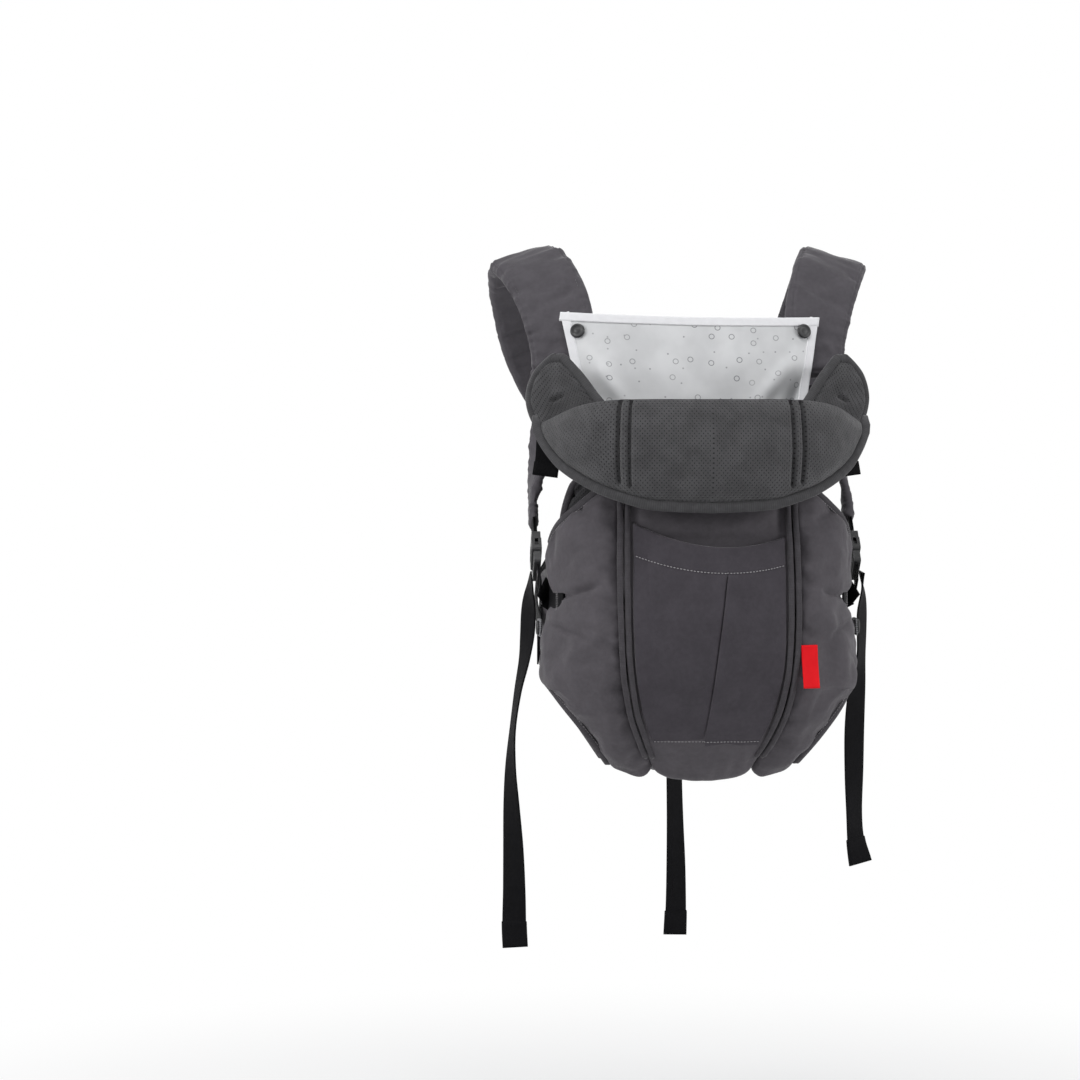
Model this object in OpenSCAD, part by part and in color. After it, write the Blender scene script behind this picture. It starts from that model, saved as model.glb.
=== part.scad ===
// Soft front baby carrier, shown as it hangs on a wearer, headrest folded down.
// +X is the wearer's left, -Y is forwards, +Z is up.
// The origin is midway between the crests of the two shoulder straps.

/* [Pouch] */
// Width across the rear edges of the side wings
wings_w = 316; // [262:1:380]
// Width between the pipings where the front panel is widest
panel_w = 172; // [140:1:200]
// How far the front of the pouch stands ahead of the shoulders
front_y = 285; // [260:1:340]
// Drop from the shoulders to the headrest's fold line
fold_drop = 150; // [145:1:170]
// Drop from the shoulders to the bottom of the pouch
bottom_drop = 529; // [440:1:640]
// Padding thickness of the front panel and the wings
pad_t = 13; // [8:0.5:16]

/* [Headrest and bib] */
// Height of the headrest flap at its middle
headrest_h = 104; // [85:1:125]
// Width of the headrest flap
headrest_w = 326; // [280:1:380]
// Thickness of the headrest's padding
headrest_t = 22; // [16:1:26]
// How far inside the crest of each strap the bib's top corners lie
bib_inset = 32; // [20:1:45]
// Height of the bib
bib_h = 184; // [150:1:200]

/* [Shoulder straps] */
// Width of the padded shoulder strap
strap_w = 74; // [55:1:90]
// Thickness of the padded shoulder strap
strap_t = 14; // [9:0.5:17]
// Distance between the crests of the two straps
strap_gauge = 332; // [310:1:400]

/* [Webbing and hardware] */
// Width of the nylon webbing
web_w = 25; // [20:1:30]
// Thickness of the webbing
web_t = 1.8; // [1.2:0.1:2.4]
// Diameter of the snap caps
snap_d = 15; // [12:0.5:18]
// Thickness of a side release buckle
buckle_t = 9; // [7.5:0.5:10]
// Reach of the squeeze arms into their socket
arm_l = 17; // [14:0.5:21]
// Height of the gathered waistband
band_h = 100; // [80:1:120]

/* [Hidden] */

fit = 0.4;                      // gap left between sewn or stacked neighbours
fold_z = -fold_drop;
bottom_z = -bottom_drop;
half_w = wings_w / 2;
back_y = 109;                   // the wearer's back behind the shoulders
strap_x = strap_gauge / 2;      // crest of a shoulder strap
side_x = half_w + 8;            // waistband and lower buckles pass the wearer's sides here
bib_w = strap_gauge - 2 * bib_inset;

// ---- smooth curves through hand-chosen rows ----

function seg(T, k, i = 0) = i >= len(T) - 2 || k < T[i + 1][0] ? i : seg(T, k, i + 1);
function slope(T, i) =
    let (a = max(i - 1, 0), b = min(i + 1, len(T) - 1))
    (T[b][1] - T[a][1]) / (T[b][0] - T[a][0]);
function smooth(T, k) =
    let (i = seg(T, k), h = T[i + 1][0] - T[i][0], t = (k - T[i][0]) / h)
    (2 * pow(t, 3) - 3 * t * t + 1) * T[i][1] + (pow(t, 3) - 2 * t * t + t) * h * slope(T, i)
    + (3 * t * t - 2 * pow(t, 3)) * T[i + 1][1] + (pow(t, 3) - t * t) * h * slope(T, i + 1);
function rows(list) = [for (i = [0:len(list) - 1]) [i, list[i]]];
function along(list, n) =
    [for (j = [0:n]) smooth(rows(list), j * (len(list) - 1) / n)];
function unit(v) = v / norm(v);
function step_dir(path, i) =
    unit(path[min(i + 1, len(path) - 1)] - path[max(i - 1, 0)]);

// ---- closed skins from grids and sweeps ----

// A slab between two grids of points; rows run downwards and columns to +X in front.
module slab(front, back) {
    r = len(front);
    c = len(front[0]);
    pts = [for (g = [front, back]) for (row = g) for (p = row) p];
    function id(g, i, j) = g * r * c + i * c + j;
    skin = [for (i = [0:r - 2]) for (j = [0:c - 2]) each [
        [id(0, i, j), id(0, i, j + 1), id(0, i + 1, j + 1)],
        [id(0, i, j), id(0, i + 1, j + 1), id(0, i + 1, j)],
        [id(1, i, j), id(1, i + 1, j + 1), id(1, i, j + 1)],
        [id(1, i, j), id(1, i + 1, j), id(1, i + 1, j + 1)]]];
    sides = [for (i = [0:r - 2]) each [
        [id(0, i, 0), id(0, i + 1, 0), id(1, i + 1, 0)],
        [id(0, i, 0), id(1, i + 1, 0), id(1, i, 0)],
        [id(0, i, c - 1), id(1, i + 1, c - 1), id(0, i + 1, c - 1)],
        [id(0, i, c - 1), id(1, i, c - 1), id(1, i + 1, c - 1)]]];
    ends = [for (j = [0:c - 2]) each [
        [id(0, 0, j), id(1, 0, j + 1), id(0, 0, j + 1)],
        [id(0, 0, j), id(1, 0, j), id(1, 0, j + 1)],
        [id(0, r - 1, j), id(0, r - 1, j + 1), id(1, r - 1, j + 1)],
        [id(0, r - 1, j), id(1, r - 1, j + 1), id(1, r - 1, j)]]];
    polyhedron(pts, concat(skin, sides, ends), convexity = 8);
}

FLAT = [[0.5, -0.25], [0.5, 0.25], [0.44, 0.5], [-0.44, 0.5],
        [-0.5, 0.25], [-0.5, -0.25], [-0.44, -0.5], [0.44, -0.5]];
ROUND = [for (k = [0:7]) [0.5 * cos(45 * k), 0.5 * sin(45 * k)]];

// One closed body swept along a path; each ring has its own width direction,
// width and thickness.
module sweep(path, wide, w, t, shape = FLAT) {
    n = len(path);
    s = len(shape);
    pts = [for (i = [0:n - 1])
        let (d = step_dir(path, i), a = unit(cross(cross(d, wide[i]), d)), b = cross(d, a))
        for (q = shape) path[i] + a * w[i] * q[0] + b * t[i] * q[1]];
    sides = [for (i = [0:n - 2]) for (k = [0:s - 1])
        let (m = (k + 1) % s) each [
            [i * s + k, (i + 1) * s + k, (i + 1) * s + m],
            [i * s + k, (i + 1) * s + m, i * s + m]]];
    first = [for (k = [1:s - 2]) [0, k, k + 1]];
    last = [for (k = [1:s - 2]) let (e = (n - 1) * s) [e, e + k + 1, e + k]];
    polyhedron(pts, concat(sides, first, last), convexity = 8);
}

function same(v, n) = [for (i = [0:n]) v];
module tube(path, d) {
    n = len(path) - 1;
    sweep(path, same([0, 0.2, 1], n), same(d, n), same(d, n), ROUND);
}
module both() {
    children();
    mirror([1, 0, 0]) children();
}

// ---- the pouch's surfaces ----

// Half width of the front panel, as a share of its widest, down the pouch
PANEL_HALF = [[0, 0.99], [0.25, 0.98], [0.5, 1], [0.7, 0.97], [0.82, 0.88],
              [0.9, 0.75], [0.96, 0.62], [1, 0.52]];
// How far the front lies behind its foremost place, down the pouch
PANEL_BACK = [[0, 45], [0.15, 32], [0.4, 12], [0.6, 0], [0.75, 3], [0.87, 22],
              [0.95, 48], [1, 70]];
function down(z) = (fold_z - z) / (fold_z - bottom_z);
function level(v) = fold_z + v * (bottom_z - fold_z);
function panel_x(v) = panel_w / 2 * smooth(PANEL_HALF, v);
function panel_y(v) = -front_y + smooth(PANEL_BACK, v);
panel_bow = 8;                  // the panel's edges lie this far behind its middle
panel_end = 0.962;
function front_point(u, v, off) =
    [u * (panel_x(v) - fit), panel_y(v) + panel_bow * u * u + off, level(v)];

// Reach of the wing's edge from the middle, as a share of half_w, down the pouch:
// the arm opening, the rear edge, then the leg opening
WING_EDGE = [[0.12, 0.74], [0.18, 0.68], [0.23, 0.67], [0.28, 0.80], [0.32, 0.91], [0.36, 0.97],
             [0.42, 0.995], [0.52, 0.985], [0.6, 1.01], [0.68, 1.035], [0.74, 1.03],
             [0.79, 0.95], [0.87, 0.79], [0.94, 0.66], [1, 0.55]];
wing_back_y = -170;
wing_top = 0.12;
// A wing turns from facing forwards at the piping to facing sideways at its end.
function wing_turn(v) = let (x = smooth(WING_EDGE, v) * half_w, p = panel_x(v))
    asin(min(1, (x - p) / (max(x, half_w) - p)));
function wing_point(a, v, off) =
    let (p = panel_x(v), q = panel_y(v) + panel_bow,
         x = max(smooth(WING_EDGE, v) * half_w, half_w), y = max(wing_back_y, q + 20))
    [p + fit + (x - p - fit - off) * sin(a), q + off + (y - q - off) * (1 - cos(a)), level(v)];
wing_rows = 26;
function wing_v(i) = wing_top + (0.975 - wing_top) * i / wing_rows;

module centre_panel() {
    color([0.29, 0.28, 0.30])
    slab([for (i = [0:22]) [for (j = [-6:6]) front_point(j / 6, i / 22 * panel_end, 0)]],
         [for (i = [0:22]) [for (j = [-6:6]) front_point(j / 6, i / 22 * panel_end, pad_t)]]);
}

module wing_body() {
    cols = 10;
    color([0.31, 0.30, 0.32])
    slab([for (i = [0:wing_rows]) let (v = wing_v(i), e = wing_turn(v))
            [for (j = [0:cols]) wing_point(e * j / cols, v, 0)]],
         [for (i = [0:wing_rows]) let (v = wing_v(i), e = wing_turn(v))
            [for (j = [0:cols]) wing_point(e * j / cols, v, pad_t)]]);
}
module wing_right() { wing_body(); }
module wing_left() { mirror([1, 0, 0]) wing_body(); }

// Two cords of piping run down each seam between panel and wing.
piping_d = 5;
module pipings() {
    color([0.22, 0.21, 0.23]) both() for (k = [-1, 1])
        tube([for (i = [0:22]) let (v = 0.02 + 0.93 * i / 22,
                fall = panel_y(v + 0.01) - panel_y(v - 0.01), drop = level(v - 0.01) - level(v + 0.01))
            [panel_x(v) + k * (piping_d / 2 + 1.2), panel_y(v) + panel_bow, level(v)]
            - unit([0, drop, fall]) * (piping_d / 2 + 2)], piping_d);
}

// ---- pocket and tag ----

pocket_below = 19;              // the pocket's mouth lies this far below the headrest's edge
pocket_top = down(fold_z - headrest_h - pocket_below);
pocket_bottom = 0.92;
pocket_t = 1.6;
pocket_gape = 13;               // the mouth stands this far open at its middle
function pocket_point(u, s, off) =
    let (dip = 0.035 * (1 - u * u) * (1 - s),
         v = pocket_top + dip + s * (pocket_bottom - pocket_top - dip),
         open = pocket_gape * (1 - u * u) * pow(1 - s, 2.2), slack = 2.5 * sin(180 * s) * (1 - u * u))
    let (x = u * (panel_x(v) - piping_d - 4))
    [x, panel_y(v) + panel_bow * pow(x / panel_x(v), 2) - 2 * fit - pocket_t - open - slack + off,
     level(v)];
module pocket() {
    color([0.30, 0.29, 0.31])
    slab([for (i = [0:18]) [for (j = [-6:6]) pocket_point(j / 6, i / 18, 0)]],
         [for (i = [0:18]) [for (j = [-6:6]) pocket_point(j / 6, i / 18, pocket_t)]]);
}

tag_size = [17, 1.2, 43];
tag_v = 0.703;
tag_in = 15.3;                  // the tag's middle lies this far out from the seam
module red_tag() {
    a = asin(tag_in / (smooth(WING_EDGE, tag_v) * half_w - panel_x(tag_v)));
    p = wing_point(a, tag_v, -tag_size[1] - 2.4);
    color([0.78, 0.06, 0.08])
    translate(p) rotate([5, -3, 18]) cube(tag_size, center = true);
}

// ---- bindings ----

binding_d = 7;
// A bound edge runs along the wing's rim, wrapped over its full thickness.
function edge_point(v, off = pad_t / 2) = wing_point(wing_turn(v), v, off);
function rim(v) =
    let (way = edge_point(v + 0.01) - edge_point(v - 0.01), face = edge_point(v, 0) - edge_point(v, pad_t))
    edge_point(v) + unit(cross(face, way)) * (binding_d / 2 + 1);
arm_rim = [0.13, 0.39];
leg_rim = [0.76, 0.97];
module arm_bindings() {
    color([0.27, 0.26, 0.28]) both()
        tube([for (i = [0:16]) rim(arm_rim[0] + (arm_rim[1] - arm_rim[0]) * i / 16)], binding_d);
}
module leg_bindings() {
    color([0.25, 0.24, 0.26]) both()
        tube([for (i = [0:14]) rim(leg_rim[0] + (leg_rim[1] - leg_rim[0]) * i / 14)], binding_d);
}

// ---- headrest ears, kept up by the upper buckles ----

ear_t = 13;
ear_x = headrest_w / 2 - 18;    // middle of an ear
ear_low = level(wing_top) + 6;  // an ear grows out of the top of its wing
ear_h = 80;
// Inner reach as a share of the way to the panel, and outer reach, up the ear
EAR_IN = [[0, -1], [0.3, -0.923], [0.55, -0.654], [0.8, -0.385], [1, -0.115]];
ear_reach = ear_x - panel_x(wing_top) - 8.5;
EAR_OUT = [[0, 6], [0.2, 20], [0.45, 27], [0.65, 26], [0.85, 19], [1, 7]];
// How far an ear stands behind the fold, by its reach about the middle
EAR_BACK = [[-60, 16], [-28, 46], [0, 66], [25, 80]];
// The ear's outer edge stays this far ahead of the upper plug.
ear_clear = 5;
function ear_depth() = (upper_at[1] - base_l - hinge_y - ear_t - ear_clear) / 80;
function ear_point(s, k, off) =
    let (inner = ear_reach * smooth(EAR_IN, s), x = inner + k * (smooth(EAR_OUT, s) - inner))
    [ear_x + x, hinge_y + ear_depth() * smooth(EAR_BACK, x) + off, ear_low + ear_h * s];
module ear_body() {
    color([0.26, 0.26, 0.27])
    slab([for (i = [0:8]) [for (k = [0:6]) ear_point(1 - i / 8, k / 6, 0)]],
         [for (i = [0:8]) [for (k = [0:6]) ear_point(1 - i / 8, k / 6, ear_t)]]);
}
module ear_right() { ear_body(); }
module ear_left() { mirror([1, 0, 0]) ear_body(); }

// ---- seat and the panel that lies on the wearer ----

seat_t = 8;
lap_y = -146;                   // middle of the inner panel's padding
inner_t = 10;
INNER_HALF = [[0, 112], [0.05, 126], [0.2, 136], [0.4, 130], [0.6, 112], [0.78, 88],
              [0.92, 66], [1, 56]];
inner_drop = 226;               // drop from the shoulders to the inner panel's top
inner_for = 158;                // half width of the pouch that these half widths belong to
inner_z = level(panel_end) + 2.5;
module seat_base() {
    n = 10;
    y0 = panel_y(panel_end) + pad_t / 2;
    z0 = level(panel_end) - 7.5;
    path = along([[0, y0, z0], [0, (y0 + lap_y) / 2 - 5, z0 - 3],
                  [0, lap_y - 12, z0 - 2], [0, lap_y, z0 + 1]], n);
    color([0.27, 0.26, 0.28])
    sweep(path, same([1, 0, 0], n), [for (i = [0:n]) panel_w * (0.5 + 0.13 * i / n)],
          same(seat_t, n));
}
module inner_panel() {
    function p(u, s, off) = [u * smooth(INNER_HALF, s) * half_w / inner_for,
        lap_y + off + 14 * u * u * (1 - s), -inner_drop + s * (inner_z + inner_drop)];
    color([0.24, 0.24, 0.25])
    slab([for (i = [0:14]) [for (j = [-6:6]) p(j / 6, i / 14, -inner_t / 2)]],
         [for (i = [0:14]) [for (j = [-6:6]) p(j / 6, i / 14, inner_t / 2)]]);
}

// ---- headrest flap, folded down over the panel ----

hinge_y = -front_y + 23;        // the fold runs here, level with fold_z
flap_half = headrest_w / 2;
FLAP_TOP = [[0, 0], [0.6, -1], [0.8, -7], [0.95, -19], [1, -24]];
FLAP_LOW = [[0, 1], [0.36, 0.97], [0.53, 0.9], [0.69, 0.8], [0.865, 0.62], [0.95, 0.45], [1, 0.30]];
// How far the flap's ends turn back, as a share of its half width
FLAP_TURN = [[0, -0.233], [0.4, -0.202], [0.62, -0.135], [0.8, 0], [0.92, 0.147], [1, 0.264]];
function flap_point(k, s, off) =
    let (u = abs(k), top = fold_z + smooth(FLAP_TOP, u), low = fold_z - headrest_h * smooth(FLAP_LOW, u),
         edge = sin(180 * min(1, max(0, s))),
         soft = headrest_t * (0.45 + 0.55 * sqrt(edge)) * (1 - 0.45 * pow(u, 4)))
    let (turn = smooth(FLAP_TURN, u) * flap_half)
    [k * flap_half, hinge_y + turn * (turn > 0 ? ear_depth() : 1) + headrest_t / 2 + off * soft / 2,
     top + s * (low - top)];
flap_cols = 15;
flap_rows = 9;
shell_share = 0.8;              // the mesh pad fills the flap up to the thin rear cover
module flap_layer(a, b) {
    slab([for (i = [0:flap_rows]) [for (j = [-flap_cols:flap_cols])
            flap_point(j / flap_cols, i / flap_rows, a)]],
         [for (i = [0:flap_rows]) [for (j = [-flap_cols:flap_cols])
            flap_point(j / flap_cols, i / flap_rows, b)]]);
}
module headrest_pad() { color([0.26, 0.26, 0.27]) flap_layer(-1, shell_share - 0.1); }
module headrest_shell() { color([0.30, 0.29, 0.31]) flap_layer(shell_share, 1); }
module headrest_binding() {
    color([0.20, 0.20, 0.21])
    tube([for (j = [-18:18]) let (k = 0.97 * j / 18,
            way = flap_point(k + 0.01, 1, 0) - flap_point(k - 0.01, 1, 0))
        flap_point(k, 1, 0) + unit([way[2], 0, -way[0]]) * (binding_d / 2 + 2)], binding_d);
}

// ---- bib ----

bib_t = 2;
bib_top = [-113, -62];          // y and z of the bib's top edge
bib_fall = 40;                  // it leans this far forwards down to the inner panel's top
bib_low_y = bib_top[0] - bib_fall * bib_h / (inner_drop + bib_top[1]);
bib_low_w = 0.74;               // width of the bib's foot, as a share of its top
bib_bend = 15;                  // the top corners bend back this far to reach the straps
function bib_point(k, s, off) =
    [k * bib_w / 2 * (1 + s * (bib_low_w - 1)),
     bib_top[0] + s * (bib_low_y - bib_top[0]) - 6 * sin(180 * s) * (1 - k * k)
     + bib_bend * pow(k, 4) * pow(1 - s, 2) + off,
     bib_top[1] - bib_h * s - 3 * (1 - k * k) * (1 - s)];
module bib() {
    color([0.80, 0.80, 0.82])
    slab([for (i = [0:10]) [for (j = [-6:6]) bib_point(j / 6, i / 10, -bib_t)]],
         [for (i = [0:10]) [for (j = [-6:6]) bib_point(j / 6, i / 10, 0)]]);
}
module bib_binding() {
    d = 3.4;
    out = d / 2 + 1.8;
    function edge(k, s) = bib_point(k, s, -bib_t / 2);
    color([0.93, 0.93, 0.94])
    tube(concat(
        [for (i = [0:8]) edge(-1, 1 - i / 8) + [-out, 0, 0]],
        [for (i = [-7:7]) edge(i / 8, 0) + [0, 0, out]],
        [for (i = [0:8]) edge(1, i / 8) + [out, 0, 0]]), d);
}
snap_in = 13;                   // snap centres lie this far inside the bib's corners
snap_h = 3.2;
snap_at = bib_point(1 - 2 * snap_in / bib_w, snap_in / bib_h, 0);
module cap(d, h) {
    rotate([90, 0, 0]) {
        cylinder(d = d, h = h * 0.6, $fn = 32);
        translate([0, 0, h * 0.6]) cylinder(d1 = d, d2 = d * 0.7, h = h * 0.4, $fn = 32);
    }
}
module bib_snaps() {
    color([0.07, 0.07, 0.08]) both()
        translate(snap_at - [0, bib_t + 3 * fit, 0]) rotate([-14, 0, 18]) cap(snap_d, snap_h);
}

// ---- shoulder straps ----

// The pad runs from the chest over the shoulder to the back.
// Its front end lies level with the upper buckle.
pad_end = [-30, -98, fold_z + 24];
PAD_ROUTE = [[-33, -93, -92], [-27, -78, -54], [-14, -48, -20], [0, 0, 0],
             [1, 44, -14], [-6, 80, -50], [-20, 102, -96], [-40, 113, -140], [-58, 117, -170]];
PAD_WIDE = [[0.90, 0.43, 0.10], [0.92, 0.40, 0.05], [0.94, 0.30, -0.12], [0.95, 0.14, -0.26],
            [0.957, 0, -0.29], [0.95, -0.15, -0.26], [0.94, -0.26, -0.2], [0.93, -0.22, 0.18],
            [0.88, -0.12, 0.42], [0.85, -0.08, 0.5]];
PAD_W = [0.86, 0.96, 1, 1, 1, 1, 1, 0.97, 0.88, 0.7];
module pad_body() {
    n = 27;
    route = [for (p = concat([pad_end], PAD_ROUTE)) p + [strap_x, 0, 0]];
    color([0.31, 0.30, 0.33])
    sweep(along(route, n), along(PAD_WIDE, n),
          [for (k = along(PAD_W, n)) k * strap_w], same(strap_t, n));
}
module strap_pad_right() { pad_body(); }
module strap_pad_left() { mirror([1, 0, 0]) pad_body(); }

// Below the pad a narrower padded strap turns to the wearer's side and tapers down
// to the loop of the lower buckle. Each row has its share of the way across and down
// from the pad to that loop, its reach from the strap's line, and its depth.
LOWER_ROUTE = [[0, -29, -98], [0.21, -22, -99], [0.45, -12, -100], [0.68, -4, -102]];
LOWER_TURN = [0, 11.7, 17.2];   // it turns towards the loop this far above its end
LOWER_WIDE = [[0.90, 0.43, 0.1], [0.75, 0.66, 0.05], [0.5, 0.86, 0], [0.2, 0.98, 0],
              [0, 0.9, -0.3], [0, 0.71, -0.71]];
LOWER_W = [0.70, 0.70, 0.64, 0.55, 0.44, 0.37];
lower_top_z = pad_end[2] - 5.5;
module lower_body() {
    n = 15;
    last = lower_at + (socket_l + loop_l + 3) * lower_dir;
    route = [for (p = LOWER_ROUTE)
        [strap_x + p[0] * p[0] * (side_x - strap_x) + p[1], p[2],
         lower_top_z + p[0] * (last[2] - lower_top_z)]];
    color([0.30, 0.29, 0.31])
    sweep(along(concat(route, [last + LOWER_TURN, last]), n), along(LOWER_WIDE, n),
          [for (k = along(LOWER_W, n)) k * strap_w], same(strap_t * 0.65, n));
}
module strap_lower_right() { lower_body(); }
module strap_lower_left() { mirror([1, 0, 0]) lower_body(); }

// ---- side release buckles ----

// In a buckle's own frame +X runs from plug to socket, Y is its width and Z its
// thickness; the socket's mouth lies at x = 0.
buckle_w = web_w + 9;
wall = 2.4;
bar = 3;
slot = 3.2;
base_l = 3 * bar + 2 * slot;
cavity_l = arm_l + 1.5;
socket_l = cavity_l + wall + slot + bar;
travel = arm_l + 2;             // the socket is clear of the arms after this far
loop_l = travel + 3;
module plate(x0, x1, w, t, r = 3) {
    translate([x0, 0, -t / 2]) linear_extrude(t)
        offset(r) offset(-r) translate([0, -w / 2]) square([x1 - x0, w]);
}
module slit(x) {
    translate([x, -web_w / 2 - 0.7, -buckle_t]) cube([slot, web_w + 1.4, 2 * buckle_t]);
}
module plug() {
    color([0.06, 0.06, 0.065]) {
        difference() {
            plate(-base_l, 0, buckle_w - 2, buckle_t - 2, 2);
            slit(-base_l + bar);
            slit(-base_l + 2 * bar + slot);
        }
        translate([-1, -2.5, -arm_t / 2]) cube([arm_l * 0.75 + 1, 5, arm_t]);
    }
}
arm_y = buckle_w / 2 - wall - 5.2;
arm_t = buckle_t - 2 * wall - 0.8;
module arm(k) {
    color([0.06, 0.06, 0.065]) mirror([0, k < 0 ? 1 : 0, 0])
    translate([0, arm_y, -arm_t / 2]) linear_extrude(arm_t)
        polygon([[fit, 0], [arm_l * 0.45, 0.6], [arm_l, 1.2], [arm_l, 3], [arm_l * 0.92, 4.2],
                 [arm_l * 0.6, 4.6], [arm_l * 0.5, 3], [fit, 2.6]]);
}
module socket() {
    color([0.06, 0.06, 0.065]) difference() {
        union() {
            plate(0, socket_l, buckle_w, buckle_t, 3);
            plate(1.5, cavity_l - 1, buckle_w, buckle_t + 1.2, 2);
        }
        translate([-1, -buckle_w / 2 + wall, -buckle_t / 2 + wall])
            cube([cavity_l + 1, buckle_w - 2 * wall, buckle_t - 2 * wall]);
        translate([arm_l * 0.4, -buckle_w, -buckle_t / 2 + wall + 0.3])
            cube([arm_l * 0.52, 2 * buckle_w, buckle_t - 2 * wall - 0.6]);
        translate([cavity_l + wall, -web_w / 2 - 0.7, -buckle_t])
            cube([slot, web_w + 1.4, 2 * buckle_t]);
    }
}
// Mouth centres of the buckles and how each one is turned
waist_z = level(0.64);
upper_at = [strap_x - 14, -99.4 - socket_l - loop_l, fold_z + 22];
lower_at = [side_x - 1, -157, level(0.435)];
lower_dir = [0, sin(45), sin(45)];
rear_at = [4, back_y + 4, waist_z + 20];
module at_upper() { translate(upper_at) rotate([90, 0, 90]) children(); }
module at_lower() { translate(lower_at) rotate([45, 0, 0]) rotate([90, 0, 90]) children(); }
module at_rear() { translate(rear_at) rotate([90, 0, 180]) children(); }

module upper_plugs() { both() at_upper() plug(); }
module lower_plugs() { both() at_lower() plug(); }
module rear_plug() { at_rear() plug(); }
module upper_socket_right() { at_upper() socket(); }
module upper_socket_left() { mirror([1, 0, 0]) at_upper() socket(); }
module lower_socket_right() { at_lower() socket(); }
module lower_socket_left() { mirror([1, 0, 0]) at_lower() socket(); }
module rear_socket() { at_rear() socket(); }
module upper_arm_right_a() { at_upper() arm(1); }
module upper_arm_right_b() { at_upper() arm(-1); }
module upper_arm_left_a() { mirror([1, 0, 0]) at_upper() arm(1); }
module upper_arm_left_b() { mirror([1, 0, 0]) at_upper() arm(-1); }
module lower_arm_right_a() { at_lower() arm(1); }
module lower_arm_right_b() { at_lower() arm(-1); }
module lower_arm_left_a() { mirror([1, 0, 0]) at_lower() arm(1); }
module lower_arm_left_b() { mirror([1, 0, 0]) at_lower() arm(-1); }
module rear_arm_a() { at_rear() arm(1); }
module rear_arm_b() { at_rear() arm(-1); }

// A loop of webbing ties each socket to its strap and crumples as the socket backs off.
module loop() {
    color([0.05, 0.05, 0.055]) translate([socket_l + fit, -web_w / 2, -web_t])
        cube([loop_l - 2 * fit, web_w, 2 * web_t]);
}
module upper_loop_right() { at_upper() loop(); }
module upper_loop_left() { mirror([1, 0, 0]) at_upper() loop(); }
module lower_loop_right() { at_lower() loop(); }
module lower_loop_left() { mirror([1, 0, 0]) at_lower() loop(); }
module rear_loop() { at_rear() loop(); }

// ---- webbing sewn to the pouch ----

module band(path, wide) {
    n = len(path) - 1;
    color([0.05, 0.05, 0.055]) sweep(path, wide, same(web_w, n), same(web_t, n));
}
// On each wing a band of webbing runs back from its stitches, and a second layer
// folds up over its end to the lower plug.
wing_band_v = 0.535;
module wing_webbing() {
    off = -web_t / 2 - 1.5 * fit;
    sewn = [for (a = [42:4:90]) wing_point(a, wing_band_v, off)];
    both() {
        band(sewn, same([0, 0, 1], len(sewn) - 1));
        band([for (k = [0:3]) lower_at - (base_l + 2.5 + 7 * k) * lower_dir - [0.8 * k, 0, 0]],
             same([0, -sin(45), sin(45)], 3));
    }
}
// From the ear's nearest place a band runs back to the upper plug, and its loose end
// hangs down behind the ear. Rows are reach past the plug, depth behind the ear, drop.
UPPER_HANG = [[2, 3.1, -18], [1, 3.1, -45], [2, 1.1, -78], [5, -0.9, -100]];
ear_s = 0.6;                    // the band is sewn this far up the ear
plug_lead = 7.5;                // and runs straight into the plug over this length
module upper_webbing() {
    n = 8;
    end = upper_at - [0, base_l, 0];
    inner = ear_reach * smooth(EAR_IN, ear_s);
    near = (end[0] - ear_x - inner) / (smooth(EAR_OUT, ear_s) - inner);
    ear = ear_point(ear_s, min(1, near), ear_t) + [0, 3.5, 0];
    behind = ear_point(ear_s, 1, ear_t)[1];
    both() {
        band(along([[ear[0], ear[1], end[2]], end - [0, plug_lead, 0],
                    end - [0, fit + web_t / 2, 0]], n), same([0, 0, 1], n));
        band(along([for (p = UPPER_HANG) [end[0] + p[0], behind + p[1], end[2] + p[2]]], n),
             along([[1, 0.1, 0], [1, 0.15, 0], [1, 0.25, 0], [1, 0.3, 0]], n));
    }
}

// ---- waist ----

band_t = 9;
// Rows are reach as a share of the wearer's side, depth, and height about the waist
WAIST_ROUTE = [[0.705, -129.5, 0], [0.84, -104, 2], [0.88, -60, 4], [0.875, 0, 8],
               [0.79, 58, 14], [0.55, 93, 18]];
module waist_body(end_x) {
    n = 20;
    path = concat([for (p = WAIST_ROUTE) [side_x * p[0], p[1], waist_z + p[2]]],
                  [[end_x, rear_at[1], rear_at[2]]]);
    color([0.31, 0.30, 0.32])
    sweep(along(path, n), same([0, 0, 1], n),
          [for (i = [0:n]) band_h * (1 - 0.35 * pow(i / n, 3))], same(band_t, n));
}
module waistband_right() { waist_body(rear_at[0] + base_l + 4); }
module waistband_left() {
    mirror([1, 0, 0]) waist_body(socket_l + loop_l - rear_at[0] + 1);
}

// Webbing runs from a wing's lower corner round the wearer's side, then up the back
// to the end of the other shoulder's pad. Rows at the side are a share of the reach to
// the wearer's side, what is added to it, depth, and height about the waist.
CROSS_SIDE = [[1, -2, -166, -17], [1, -4, -145, -11], [0.85, 15, -100, 1], [0.88, 10, -40, 18],
              [0.87, 7.6, 25, 42], [0.65, 18, 86, 74]];
CROSS_BACK = [[0.67, 117, -286], [0, 124, -250], [-0.577, 124, -216], [-1, 119.5, -183]];
pad_end_in = 62;                // the webbing meets the pad this far inside its crest
function cross_path(lap) =
    let (path = concat([for (p = CROSS_SIDE) [side_x * p[0] + p[1], p[2], waist_z + p[3]]],
                       [for (p = CROSS_BACK) [p[0] * (strap_x - pad_end_in), p[1], p[2]]]))
    [for (p = along(path, 26))
        [p[0], p[1] + lap * max(0, cos(min(90, abs(p[0]) * 1.2))), p[2]]];
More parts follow.
